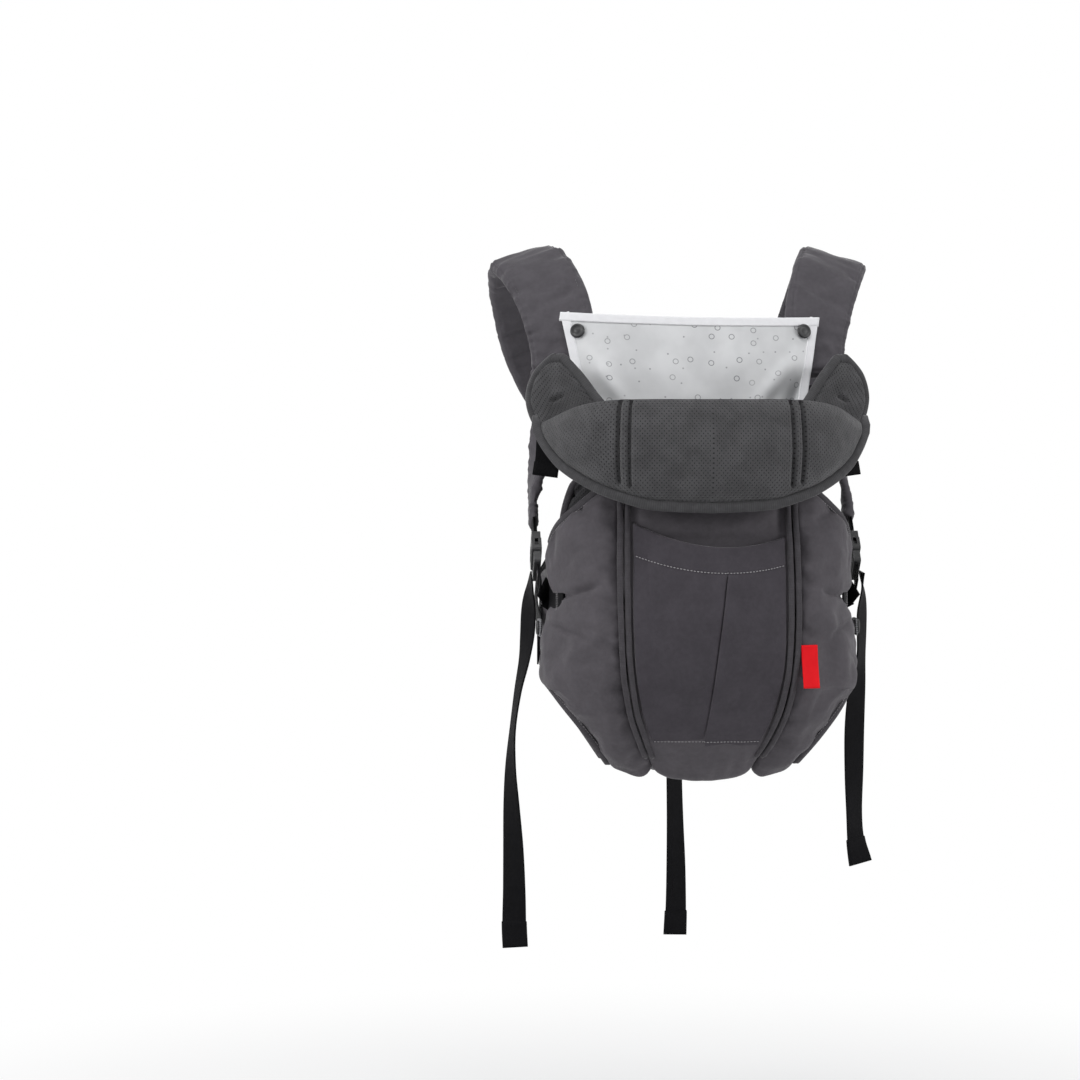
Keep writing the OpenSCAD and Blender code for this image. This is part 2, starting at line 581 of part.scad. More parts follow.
CROSS_WIDE = [[0, -0.1, 1], [0, 0.2, 1], [0, 0.28, 1], [0, 0.25, 1], [-0.15, 0.3, 1],
              [-0.3, 0.2, 1], [0.42, 0, 1], [0.48, 0, 1], [0.5, 0, 1], [0.55, 0, 1]];
module cross_webbing_right() { band(cross_path(3), along(CROSS_WIDE, 26)); }
module cross_webbing_left() { mirror([1, 0, 0]) band(cross_path(-1.2), along(CROSS_WIDE, 26)); }

// A stitched patch keeps the crossing in place, one square on each side.
module cross_patch() {
    at = CROSS_BACK[1];
    side = web_w + 21;
    color([0.28, 0.27, 0.29]) for (y = [-4.4, 5.4])
        translate([0, at[1] + y, at[2]]) rotate([90, 0, 0])
            linear_extrude(1.6, center = true) offset(6) square(side - 12, center = true);
}

// A ribbed elastic tab snaps each leg opening to the waistband's webbing.
TAB_AT = [half_w + 5.2, -172, waist_z + 10];
module leg_tabs() {
    color([0.45, 0.44, 0.46]) both()
        translate(TAB_AT) rotate([0, -2, 0]) cube([1.6, 30, 18], center = true);
}

// Fixed halves of the snaps: strap studs, panel stud and tab caps
headrest_snap_drop = 60;        // the headrest's snap meets the panel this far below the fold
module snap_studs() {
    v = down(fold_z - headrest_snap_drop);
    color([0.08, 0.08, 0.085]) {
        both() translate(snap_at + [0, 2 + 3 * fit, 0]) rotate([-14, 0, 18]) cap(snap_d * 0.7, 2);
        translate([0, panel_y(v) - 5 * fit, fold_z - headrest_snap_drop]) cap(snap_d, snap_h);
        both() translate(TAB_AT + [1.2, -6, 0]) rotate([0, 90, 0])
            cylinder(d = snap_d, h = snap_h, $fn = 32);
    }
}
module headrest_snap() {
    p = flap_point(0, headrest_snap_drop / headrest_h, 1);
    h = snap_h * 0.8;
    color([0.08, 0.08, 0.085]) translate([0, p[1] + 2 * fit + h, p[2]]) cap(snap_d, h);
}

// ---- loose ends of the webbing ----

TAIL_LEFT = [[-171, -167, -327], [-172, -165, -345], [-173, -157, -368], [-174, -151, -392],
             [-177, -148, -418], [-183, -142, -450], [-188, -137, -490], [-190, -133, -530],
             [-189, -130, -570], [-187, -128, -615], [-186, -127, -660], [-186, -127, -695],
             [-185, -128, -719]];
TAIL_LEFT_WIDE = [[0, -0.7, 0.7], [0.2, -0.9, 0.4], [0.5, -0.86, 0], [0.5, -0.86, 0], [0.35, -0.93, 0],
                  [0.2, -1, 0], [0.15, -1, 0], [0.35, -0.93, 0], [0.6, -0.8, 0], [0.8, -0.6, 0],
                  [0.93, -0.4, 0], [1, -0.15, 0], [1, 0, 0]];
TAIL_RIGHT = [[171, -167, -327], [172, -165, -345], [173, -157, -368], [174, -151, -392],
              [173.5, -149, -418], [170, -146, -450], [168.5, -141, -490], [169, -136, -535],
              [170, -132, -580], [172, -131, -610], [177, -131, -634]];
TAIL_RIGHT_WIDE = [[0, 0.7, -0.7], [0.2, 0.9, -0.4], [0.5, 0.86, 0], [0.5, 0.86, 0], [0.5, 0.86, 0],
                   [0.8, 0.6, 0], [0.88, 0.45, 0], [0.85, 0.5, 0], [0.75, 0.65, 0], [0.8, 0.6, 0],
                   [0.95, 0.3, 0.1]];
TAIL_REAR = [[12, 120, -386], [12, 124, -402], [12, 127, -430], [11, 129, -470], [10, 130, -520],
             [10, 130, -570], [11, 130, -620], [12, 130, -670], [12, 130, -715], [11, 130, -748]];
TAIL_REAR_WIDE = [[1, 0, 0], [1, 0.1, 0], [0.95, 0.3, 0], [0.9, 0.45, 0], [0.8, 0.6, 0],
                  [0.75, 0.65, 0], [0.8, 0.6, 0], [0.9, 0.45, 0], [0.95, 0.3, 0], [1, 0.1, 0]];
module loose_end(points, wide) {
    n = 2 * (len(points) - 1);
    band(along(points, n), along(wide, n));
}
module tail_left() { loose_end(TAIL_LEFT, TAIL_LEFT_WIDE); }
module tail_right() { loose_end(TAIL_RIGHT, TAIL_RIGHT_WIDE); }
module tail_rear() { loose_end(TAIL_REAR, TAIL_REAR_WIDE); }

centre_panel();
pocket();
red_tag();
wing_left();
wing_right();
pipings();
arm_bindings();
leg_bindings();
ear_left();
ear_right();
seat_base();
inner_panel();
wing_webbing();
upper_webbing();
strap_pad_left();
strap_pad_right();
strap_lower_left();
strap_lower_right();
snap_studs();
leg_tabs();
upper_plugs();
lower_plugs();
rear_plug();
waistband_left();
waistband_right();
cross_webbing_left();
cross_webbing_right();
cross_patch();
upper_loop_left();
upper_loop_right();
lower_loop_left();
lower_loop_right();
rear_loop();
headrest_pad();
headrest_shell();
headrest_binding();
headrest_snap();
bib();
bib_binding();
bib_snaps();
upper_socket_left();
upper_socket_right();
lower_socket_left();
lower_socket_right();
rear_socket();
upper_arm_left_a();
upper_arm_left_b();
upper_arm_right_a();
upper_arm_right_b();
lower_arm_left_a();
lower_arm_left_b();
lower_arm_right_a();
lower_arm_right_b();
rear_arm_a();
rear_arm_b();
tail_left();
tail_right();
tail_rear();
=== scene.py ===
import math

import bmesh
import bpy
import numpy as np
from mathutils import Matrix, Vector, noise


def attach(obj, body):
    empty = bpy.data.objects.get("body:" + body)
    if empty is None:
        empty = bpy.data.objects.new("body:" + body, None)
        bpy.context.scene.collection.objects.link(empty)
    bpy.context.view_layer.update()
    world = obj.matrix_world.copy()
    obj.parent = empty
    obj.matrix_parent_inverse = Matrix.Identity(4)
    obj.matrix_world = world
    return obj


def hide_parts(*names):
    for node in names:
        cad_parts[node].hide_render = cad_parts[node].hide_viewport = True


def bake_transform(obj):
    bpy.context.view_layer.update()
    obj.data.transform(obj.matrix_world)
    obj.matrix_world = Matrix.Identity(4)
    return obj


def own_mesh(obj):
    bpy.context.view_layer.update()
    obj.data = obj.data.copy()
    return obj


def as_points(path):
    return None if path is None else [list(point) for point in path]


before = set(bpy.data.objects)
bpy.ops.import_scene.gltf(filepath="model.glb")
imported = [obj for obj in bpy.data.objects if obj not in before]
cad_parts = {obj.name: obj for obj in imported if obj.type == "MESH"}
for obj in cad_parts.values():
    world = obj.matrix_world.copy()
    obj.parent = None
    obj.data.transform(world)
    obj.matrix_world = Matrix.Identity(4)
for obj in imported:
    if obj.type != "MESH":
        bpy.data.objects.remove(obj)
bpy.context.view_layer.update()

# The room. The carrier hangs as on a wearer, over a plain pale floor that runs back
# into white, with large soft lamps round it at a level that shows cloth as it is dyed.
# One pair of eyes at chest height, a little to the wearer's right, looks straight in.
scene = bpy.context.scene
scene.view_settings.view_transform = "Standard"
look_az, look_el, look_from, half_sight = math.radians(-4), math.radians(2), 3.349, 540 / 3250
aim = Vector((-0.1607, -0.150, -0.294))
back_along = Vector((math.sin(look_az) * math.cos(look_el), -math.cos(look_az) * math.cos(look_el),
                     math.sin(look_el)))
camera = bpy.data.objects.new("Camera", bpy.data.cameras.new("Camera"))
camera.location = aim + look_from * back_along
camera.rotation_euler = back_along.to_track_quat("Z", "Y").to_euler()
camera.data.angle = 2 * math.atan(half_sight)
scene.collection.objects.link(camera)
scene.camera = camera


class Yarn:
    """A value running through a finish, so that sums over the cloth read as sums."""

    def __init__(self, finish, socket=None):
        self.finish, self.socket = finish, socket

    def make(self, kind, settings=(), sockets=(), out=0):
        """Adds a node: its settings first, then its sockets' values or links."""
        tree = self.finish.node_tree
        node = tree.nodes.new("ShaderNode" + kind)
        for key, value in dict(settings).items():
            setattr(node, key, value)
        for key, value in dict(sockets).items():
            if isinstance(value, Yarn):
                tree.links.new(value.socket, node.inputs[key])
            else:
                node.inputs[key].default_value = value
        return Yarn(self.finish, node.outputs[out] if len(node.outputs) else None)

    def maths(self, how, *numbers):
        return self.make("Math", {"operation": how}, dict(enumerate(numbers)))

    def __add__(self, other): return self.maths("ADD", self, other)
    def __radd__(self, other): return self.maths("ADD", other, self)
    def __sub__(self, other): return self.maths("SUBTRACT", self, other)
    def __rsub__(self, other): return self.maths("SUBTRACT", other, self)
    def __mul__(self, other): return self.maths("MULTIPLY", self, other)
    def __rmul__(self, other): return self.maths("MULTIPLY", other, self)
    def __truediv__(self, other): return self.maths("DIVIDE", self, other)
    def __mod__(self, other): return self.maths("FLOORED_MODULO", self, other)
    def __abs__(self): return self.maths("ABSOLUTE", self)

    def wave(self, length):
        return self.maths("SINE", self * (2 * math.pi / length))

    def axis(self, which):
        return self.make("SeparateXYZ", {}, {0: self}, which)

    def between(self, low, high):
        """0 at low and 1 at high, eased in and out."""
        return self.make("MapRange", {"interpolation_type": "SMOOTHSTEP"},
                         {"Value": self, "From Min": low, "From Max": high})

    def dye(self, a, b):
        """Colour a where this is 0 and colour b where it is 1."""
        a, b = (x if isinstance(x, Yarn) else (*x, 1) for x in (a, b))
        return self.make("Mix", {"data_type": "RGBA"}, {0: self, 6: a, 7: b}, 2)

    def dyed_lot(self, colour, uneven):
        """A colour that comes out a share darker where this is 0 and lighter where it is 1."""
        return self.dye([c * (1 - uneven) for c in colour], [c * (1 + uneven) for c in colour])

    def cloud(self, where, scale, detail=2.0, rough=0.5):
        return self.make("TexNoise", {}, {"Vector": where, "Scale": scale, "Detail": detail,
                                          "Roughness": rough})

    def handle(self, colour, rough, height, relief=0.8, gleam=0.08, nap=0.0, nap_rough=0.5):
        """The surface itself: its colour and shine, its nap, and the height of its threads."""
        bump = self.make("Bump", {}, {"Height": height, "Distance": 0.001, "Strength": relief})
        return self.make("BsdfPrincipled", {}, {
            "Base Color": colour, "Roughness": rough, "Specular IOR Level": gleam,
            "Sheen Weight": nap, "Sheen Roughness": nap_rough, "Normal": bump})


def finish(name, surface):
    """A finish whose surface is what the given function returns."""
    made = bpy.data.materials.new(name)
    made.use_nodes = True
    made.node_tree.nodes.clear()
    start = Yarn(made)
    start.make("OutputMaterial", {}, {"Surface": surface(start)})
    return made


def seen(start):
    """1 for the eye, and for what it sees in a gloss or through a gap; 0 for the light."""
    camera_ray, glossy, through = (start.make("LightPath", out=f"Is {kind} Ray")
                                   for kind in ("Camera", "Glossy", "Transmission"))
    return start.maths("MAXIMUM", camera_ray, start.maths("MAXIMUM", glossy, through))


def white_room(start):
    place = start.make("TexCoord", out="Object")
    far = place.make("VectorMath", {"operation": "LENGTH"}, {0: place}, "Value").between(0.35, 1.3)
    floor_paint = start.make("BsdfDiffuse", {}, {"Color": (0.93, 0.93, 0.93, 1)})
    glow = start.make("Emission", {}, {"Color": (1, 1, 1, 1), "Strength": 1.0})
    return start.make("MixShader", {}, {0: far * seen(start), 1: floor_paint, 2: glow})


floor = bpy.data.objects.new("floor", bpy.data.meshes.new("floor"))
floor.data.from_pydata([(-9, -9, 0), (9, -9, 0), (9, 9, 0), (-9, 9, 0)], [], [(0, 1, 2, 3)])
floor.data.materials.append(finish("floor_paint", white_room))
floor.location.z = -1.0
scene.collection.objects.link(floor)

scene.world = bpy.data.worlds.new("room")
scene.world.use_nodes = True
scene.world.node_tree.nodes.clear()
room = Yarn(scene.world)
backdrop = room.make("Background", {}, {"Color": (1, 1, 1, 1), "Strength": 1.0})
air = room.make("Background", {}, {"Color": (0.96, 0.98, 1.0, 1), "Strength": 0.24})
room.make("OutputWorld", {}, {"Surface": room.make("MixShader", {}, {0: seen(room), 1: air, 2: backdrop})})
for name, at, size, watts in (("left", (-2.1, -1.1, 0.5), 1.0, 32), ("right", (2.2, -1.2, 0.3), 1.0, 32),
                              ("top", (-0.3, -0.9, 2.0), 1.0, 30), ("back", (0.5, 2.4, 1.0), 2.0, 24)):
    lamp = bpy.data.objects.new(name, bpy.data.lights.new(name, "AREA"))
    lamp.data.size, lamp.data.energy = size, watts
    lamp.location = at
    lamp.rotation_euler = (Vector(at) - Vector((0, -0.1, -0.35))).to_track_quat("Z", "Y").to_euler()
    scene.collection.objects.link(lamp)


# The loose webbing ends. Each is flat nylon webbing 25 mm wide and 1.8 mm thick that
# hangs from its buckle under its own weight, with its cut end folded over twice and
# sewn into a stiff hem. Positions here and below are in millimetres.
def smooth(rows, k):
    """A smooth curve through (place, value...) rows, read at the places k."""
    rows, k = np.asarray(rows, float), np.asarray(k, float)
    at, val = rows[:, 0], rows[:, 1:]
    i = np.clip(np.searchsorted(at, k, side="right") - 1, 0, len(at) - 2)
    before, after = np.maximum(np.arange(len(at)) - 1, 0), np.minimum(np.arange(len(at)) + 1, len(at) - 1)
    lean = (val[after] - val[before]) / (at[after] - at[before])[:, None]
    h = (at[i + 1] - at[i])[..., None]
    t = (k - at[i])[..., None] / h
    got = ((2 * t ** 3 - 3 * t * t + 1) * val[i] + (t ** 3 - 2 * t * t + t) * h * lean[i]
           + (3 * t * t - 2 * t ** 3) * val[i + 1] + (t ** 3 - t * t) * h * lean[i + 1])
    return got[..., 0] if val.shape[1] == 1 else got


def along(points, n):
    """n + 1 points on a smooth curve through the given ones."""
    return smooth([(i, *np.atleast_1d(p)) for i, p in enumerate(points)],
                  np.linspace(0, len(points) - 1, n + 1))


def units(v):
    return v / np.maximum(np.linalg.norm(v, axis=-1, keepdims=True), 1e-9)


def run_of(path):
    """How far along a path each of its points lies."""
    return np.concatenate([[0], np.cumsum(np.linalg.norm(np.diff(path, axis=0), axis=1))])


def read(rows, run, at):
    """The rows of a path, known at each run along it, at other runs."""
    return np.stack([np.interp(at, run, rows[:, i]) for i in range(3)], 1)


def face_out(mesh, join=0):
    """Turns a closed mesh's faces outwards, its near points joined first if asked."""
    tidy = bmesh.new()
    tidy.from_mesh(mesh)
    if join:
        bmesh.ops.remove_doubles(tidy, verts=tidy.verts, dist=join)
    bmesh.ops.recalc_face_normals(tidy, faces=tidy.faces)
    tidy.to_mesh(mesh)
    tidy.free()


def cut_out(name, mesh, cloth):
    mesh.shade_smooth()
    mesh.materials.append(cloth)
    piece = bpy.data.objects.new(name, mesh)
    scene.collection.objects.link(piece)
    return piece


def sew(name, rings, cloth, across=None, down=None, ends=True):
    """One closed piece from rings of points in millimetres. It is laid out flat in
    metres, across and down, for the weave to follow."""
    rings = np.asarray(rings, float)
    r, c = rings.shape[:2]
    if across is None:
        step = np.linalg.norm(np.diff(rings, axis=1, append=rings[:, :1]), axis=2).mean(0)
        across = np.tile(np.concatenate([[0], np.cumsum(step)]), (r, 1))
    if down is None:
        down = np.tile(run_of(rings.mean(1))[:, None], (1, c + 1))
    mesh = bpy.data.meshes.new(name)
    faces, flat = [], []
    for i in range(r - 1):
        for k in range(c):
            m = (k + 1) % c
            faces.append((i * c + k, i * c + m, (i + 1) * c + m, (i + 1) * c + k))
            flat += [(across[i, k], down[i, k]), (across[i, k + 1], down[i, m]),
                     (across[i + 1, k + 1], down[i + 1, m]), (across[i + 1, k], down[i + 1, k])]
    if ends:
        faces += [tuple(range(c - 1, -1, -1)), tuple((r - 1) * c + k for k in range(c))]
        flat += [(across[0, k], 0) for k in range(c - 1, -1, -1)]
        flat += [(across[-1, k], down[-1, 0]) for k in range(c)]
    mesh.from_pydata(rings.reshape(-1, 3) * 0.001, [], faces)
    layer = mesh.uv_layers.new(name="cut")
    layer.data.foreach_set("uv", (np.array(flat) * 0.001).astype(np.float32).ravel())
    face_out(mesh, join=2e-5)
    return cut_out(name, mesh, cloth)


def ring_round(path, wide, width, thick, shape):
    """Rings of one outline carried along a path, each turned to its own width way."""
    path = np.asarray(path, float)
    n = len(path)
    ahead = units(np.gradient(path, axis=0))
    a = units(np.cross(np.cross(ahead, wide), ahead))
    b = np.cross(ahead, a)
    width, thick = np.broadcast_to(width, n), np.broadcast_to(thick, n)
    return (path[:, None] + a[:, None] * (width[:, None] * shape[:, 0])[..., None]
            + b[:, None] * (thick[:, None] * shape[:, 1])[..., None])


def flat_outline(n=9):
    """A flat band's outline, half round at its edges."""
    flat = 0.47
    turn, x = np.linspace(0, math.pi, 5)[1:-1], np.linspace(-flat, flat, n)
    right = [(flat + (0.5 - flat) * math.sin(t), 0.5 * math.cos(t)) for t in turn[::-1]]
    left = [(-flat - (0.5 - flat) * math.sin(t), 0.5 * math.cos(t)) for t in turn]
    return np.array([(v, -0.5) for v in x] + right + [(v, 0.5) for v in x[::-1]] + left)


band_w, band_t = 25, 1.8


def nylon(start):
    cut = start.make("TexCoord", out="UV")
    x, y = cut.axis("X"), cut.axis("Y")
    rib = abs((x + y * 0.5).wave(0.0032)) * abs((y + (x.wave(0.0064) * 0.0002)).wave(0.0022))
    wear = start.cloud(cut, 60.0, 4.0)
    base = (rib * 0.6 + wear * 0.5).dye((0.002, 0.002, 0.0025), (0.010, 0.0098, 0.011))
    return start.handle(base, 0.62 - rib * 0.12, rib * 0.30 + wear * 0.1, 0.9, 0.04)


webbing = finish("black_webbing", nylon)


def webbing_run(name, points, wide, body, n=4, hem=0):
    """A band of webbing; the last hem millimetres are doubled over, past a short step."""
    n *= len(points) - 1
    path, way = along(points, n), along(wide, n)
    run, grow, step = run_of(path), np.zeros(n + 1), 0.8
    if hem:
        at = np.sort(np.concatenate([run, run[-1] - hem + np.array([-step, step]) / 2]))
        path, way = read(path, run, at), read(way, run, at)
        grow = np.clip((at - run[-1] + hem + step / 2) / step, 0, 1)
    rings = ring_round(path, way, band_w * (1 + 0.06 * grow), band_t * (1 + 1.1 * grow), flat_outline())
    piece = sew(name, rings, webbing)
    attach(piece, body)
    return piece, path


tails = {
    "left": ([[-171, -167, -327], [-172, -165, -345], [-173, -157, -368], [-174, -151, -392],
              [-177, -148, -418], [-183, -142, -450], [-188, -137, -490], [-190, -133, -530],
              [-189, -130, -570], [-187, -128, -615], [-186, -127, -660], [-186, -127, -695],
              [-185, -128, -719]],
             [[0, -0.7, 0.7], [0.2, -0.9, 0.4], [0.5, -0.86, 0], [0.5, -0.86, 0], [0.35, -0.93, 0],
              [0.2, -1, 0], [0.15, -1, 0], [0.35, -0.93, 0], [0.6, -0.8, 0], [0.8, -0.6, 0],
              [0.93, -0.4, 0], [1, -0.15, 0], [1, 0, 0]]),
    "right": ([[171, -167, -327], [172, -165, -345], [173, -157, -368], [174, -151, -392],
               [173.5, -149, -418], [170, -146, -450], [168.5, -141, -490], [169, -136, -535],
               [170, -132, -580], [172, -131, -610], [177, -131, -634]],
              [[0, 0.7, -0.7], [0.2, 0.9, -0.4], [0.5, 0.86, 0], [0.5, 0.86, 0], [0.5, 0.86, 0],
               [0.8, 0.6, 0], [0.88, 0.45, 0], [0.85, 0.5, 0], [0.75, 0.65, 0], [0.8, 0.6, 0],
               [0.95, 0.3, 0.1]]),
    "rear": ([[12, 120, -386], [12, 124, -402], [12, 127, -430], [11, 129, -470], [10, 130, -520],
              [10, 130, -570], [11, 130, -620], [12, 130, -670], [12, 130, -715], [11, 130, -748]],
             [[1, 0, 0], [1, 0.1, 0], [0.95, 0.3, 0], [0.9, 0.45, 0], [0.8, 0.6, 0],
              [0.75, 0.65, 0], [0.8, 0.6, 0], [0.9, 0.45, 0], [0.95, 0.3, 0], [1, 0.1, 0]]),
}
for side, (points, wide) in tails.items():
    tail, path = webbing_run(f"loose_end_{side}", points, wide, "carrier", n=6, hem=27)
    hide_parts(f"tail_{side}")
    path[0] * 0.001
    float(run_of(path)[-1]) * 0.001
    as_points(path * 0.001)


# The front panel. A padded leaf of charcoal woven polyester over wadding, crowned
# across and curving under at its foot, pulled in along both seams to the wings.
wings_w, panel_w, front_y, fold_z, bottom_z, pad_t = 316, 172, 285, -150, -529, 13
half_w, fit = wings_w / 2, 0.4
PANEL_HALF = [[0, 0.99], [0.25, 0.98], [0.5, 1], [0.7, 0.97], [0.82, 0.88], [0.9, 0.75],
              [0.96, 0.62], [1, 0.52]]
PANEL_BACK = [[0, 45], [0.15, 32], [0.4, 12], [0.6, 0], [0.75, 3], [0.87, 22], [0.95, 48], [1, 70]]
panel_bow, panel_end = 8, 0.962


def level(v): return fold_z + v * (bottom_z - fold_z)
def share_down(z): return (fold_z - z) / (fold_z - bottom_z)
def panel_x(v): return panel_w / 2 * smooth(PANEL_HALF, v)
def panel_y(v): return -front_y + smooth(PANEL_BACK, v)


def front_point(u, v, off):
    return np.stack([u * (panel_x(v) - fit), panel_y(v) + panel_bow * u * u + off, level(v)], -1)


def eased(n, tight=0.35):
    """Places from 0 to 1 that crowd towards both ends, where an edge turns over."""
    t = np.linspace(0, 1, n + 1)
    return (1 - tight) * t + tight * (1 - np.cos(math.pi * t)) / 2


def outward(grid):
    """The way each point of a grid faces; to -Y for a grid seen from the front."""
    return units(np.cross(np.gradient(grid, axis=0), np.gradient(grid, axis=1)))


def plump(down, over, soft):
    """Share of the full thickness over a piece: round at its sewn edges, 1 inside."""
    got = 1.0
    for inside in (over, over[:, -1:] - over, down, down[-1:] - down):
        got = got * np.sqrt(np.clip(1 - (1 - np.clip(inside / soft, 0, 1)) ** 2, 0, 1))
    return got


def spans(grid):
    """How far down and across a grid each of its points lies, in millimetres."""
    down = np.concatenate([np.zeros((1, grid.shape[1])),
                           np.cumsum(np.linalg.norm(np.diff(grid, axis=0), axis=2), 0)])
    over = np.concatenate([np.zeros((grid.shape[0], 1)),
                           np.cumsum(np.linalg.norm(np.diff(grid, axis=1), axis=2), 1)], 1)
    return down, over


def filled(front, back, sewn, most):
    """The two faces of a leaf once its wadding has pushed them out between the places
    where they are sewn down: simulated as a coarse cloth, with no move over most."""
    coarse, last = 5, 20

    def every(lines, length):
        return np.unique(np.linspace(0, lines - 1, int(length / coarse) + 2).round().astype(int))

    def at(side, a, b): return side * n * m + a * m + b

    down, over = spans((front + back) / 2)
    i, j = every(front.shape[0], down[-1].max()), every(front.shape[1], over[:, -1].max())
    n, m = len(i), len(j)
    verts = np.stack([front[np.ix_(i, j)], back[np.ix_(i, j)]]).reshape(-1, 3) * 0.001
    quads = [(at(0, a, b), at(0, a + 1, b), at(0, a + 1, b + 1), at(0, a, b + 1))
             for a in range(n - 1) for b in range(m - 1)]
    quads += [tuple(k + n * m for k in q[::-1]) for q in quads]
    for a, turn in ((0, 1), (n - 1, -1)):
        quads += [(at(0, a, b), at(0, a, b + 1), at(1, a, b + 1), at(1, a, b))[::turn] for b in range(m - 1)]
    for b, turn in ((0, 1), (m - 1, -1)):
        quads += [(at(0, a + 1, b), at(0, a, b), at(1, a, b), at(1, a + 1, b))[::turn] for a in range(n - 1)]
    shell = bpy.data.meshes.new("filling")
    shell.from_pydata(verts, [], quads)
    face_out(shell)
    sack = bpy.data.objects.new("filling", shell)
    scene.collection.objects.link(sack)
    kept = np.flatnonzero(np.tile(sewn[np.ix_(i, j)].ravel(), 2))
    sack.vertex_groups.new(name="sewn").add([int(k) for k in kept], 1.0, "REPLACE")
    work = sack.modifiers.new("wadding", "CLOTH")
    rules = work.settings
    rules.quality, rules.mass, rules.use_pressure, rules.uniform_pressure_force = 5, 0.3, True, 4.0
    rules.tension_stiffness = rules.compression_stiffness = 15
    rules.shear_stiffness, rules.bending_stiffness, rules.shrink_min = 5, 0.5, -0.05
    rules.effector_weights.gravity = 0
    rules.vertex_group_mass = "sewn"
    work.point_cache.frame_start, work.point_cache.frame_end = 1, last
    for moment in range(1, last + 1):
        scene.frame_set(moment)
    shaped = sack.evaluated_get(bpy.context.evaluated_depsgraph_get()).data
    got = np.empty(len(verts) * 3)
    shaped.vertices.foreach_get("co", got)
    bpy.data.objects.remove(sack)
    bpy.data.meshes.remove(shell)
    scene.frame_set(1)
    move = (got.reshape(-1, 3) - verts).reshape(2, n, m, 3) * 1000
    move *= np.minimum(1, most / np.maximum(np.linalg.norm(move, axis=-1, keepdims=True), 1e-6))
    rows, cols = np.arange(front.shape[0]), np.arange(front.shape[1])
    fine = np.array([[[np.interp(rows, i, side[:, b, x]) for x in range(3)] for b in range(m)]
                     for side in move])
    fine = np.array([[[np.interp(cols, j, side[:, x, a]) for a in rows] for x in range(3)]
                     for side in fine])
    fine = fine.transpose(0, 2, 3, 1)
    for _ in range(4):
        for axis in (1, 2):
            fine = (np.roll(fine, 1, axis) + 2 * fine + np.roll(fine, -1, axis)) / 4
    share = np.minimum(1, np.linalg.norm(front - back, axis=-1, keepdims=True) / 4)
    return front + fine[0] * share, back + fine[1] * share


def two_faced(name, front, back, cloth, down, over):
    """A closed leaf from its two faces, laid out flat to both sides of its middle line."""
    reach = over - over[:, over.shape[1] // 2:over.shape[1] // 2 + 1]
    across = np.concatenate([reach, reach[:, ::-1], reach[:, :1]], 1)
    drop = np.concatenate([down, down[:, ::-1]], 1)
    return sew(name, np.concatenate([front, back[:, ::-1]], 1), cloth, across, drop)


def pad(name, middle, thick, cloth, soft=9, face=0.0, rear=0.0, least=0.0, most=0, held=False):
    """A padded leaf about a grid of middle points: full inside, pinched where it is
    sewn. face and rear are heights added to each side; most is how far wadding may push
    its cloth, other than where it is held."""
    down, over = spans(middle)
    swell = np.maximum(plump(down, over, soft), least) * thick / 2
    out = outward(middle)
    front = middle + out * (swell + face * np.minimum(1, swell * 0.5))[..., None]
    back = middle - out * (swell + rear)[..., None]
    if most:
        front, back = filled(front, back, (swell < thick * 0.22) | held, most)
    return two_faced(name, front, back, cloth, down, over)


def rumple(grid, size, depth, seed=0, stretch=(1, 1, 1)):
    """Soft unevenness of a cloth face, of the given size and depth."""
    scale = np.array(stretch) / size
    flat = (grid.reshape(-1, 3) * scale) + seed * 17.3
    return np.array([noise.noise(p) for p in flat]).reshape(grid.shape[:2]) * depth


def tuck(grid, a, b, depth, width, ends=0.25):
    """A crease (depth below 0) or a ridge pressed between two points, seen from the
    front: each is (x, z)."""
    a, b = np.array(a, float), np.array(b, float)
    p = grid[..., [0, 2]] - a
    t = np.clip((p @ (b - a)) / ((b - a) @ (b - a)), 0, 1)
    away = np.linalg.norm(p - t[..., None] * (b - a), axis=-1)
    fade = np.clip(np.minimum(t, 1 - t) / ends, 0, 1) ** 0.7
    return depth * fade * np.exp(-(away / width) ** 2)


def woven(name, colour, nap=0.2):
    """Plain woven cloth with a soft handle: threads, small rumples, uneven dye."""
    thread = 0.0011

    def surface(start):
        cut, place = start.make("TexCoord", out="UV"), start.make("TexCoord", out="Object")
        threads = cut.axis("X").wave(thread) * cut.axis("Y").wave(thread)
        small, wide = start.cloud(place, 210.0, 5.0, 0.6), start.cloud(place, 42.0, 3.0)
        tone = small * 0.45 + wide * 0.55 + threads * 0.05
        return start.handle(tone.between(0.25, 0.75).dyed_lot(colour, 0.14), 0.8 + tone * 0.15 - 0.08,
                            threads * 0.035 + small * 0.35 + wide * 0.9, nap=nap, nap_rough=0.35)
    return finish(name, surface)


def dress(piece, body, slot, *nodes, fill=None):
    """Hangs a piece on its body in place of its CAD solids."""
    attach(piece, body)
    if nodes:
        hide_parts(*nodes)
    return piece


charcoal = woven("charcoal_cloth", (0.078, 0.072, 0.080))
panel_foot, foot_sag, by_seam = 0.998, 7, 70
u, row = np.meshgrid(2 * eased(72) - 1, eased(110, 0.15))
v = row * (panel_foot - 0.02 * u ** 4)
middle = front_point(u, v, pad_t / 2)
middle[..., 2] -= foot_sag * row ** 8 * (1 - 0.6 * u * u)
under_pocket = (v > 0.36) & (v < 0.93) & (np.abs(u) < 0.93)
bare = 1 - under_pocket
panel = pad("front_panel", middle, pad_t, charcoal, soft=10, least=0.25, most=3, held=under_pocket,
            face=(rumple(middle, 30, 1.8, 1) + rumple(middle, 12, 0.7, 2)) * bare - 1.0 * (1 - bare)
            - 1.2 * np.exp(-((np.abs(middle[..., 0]) - by_seam) / 5) ** 2))
dress(panel, "carrier", "shell_cloth", "centre_panel", fill=0.6)


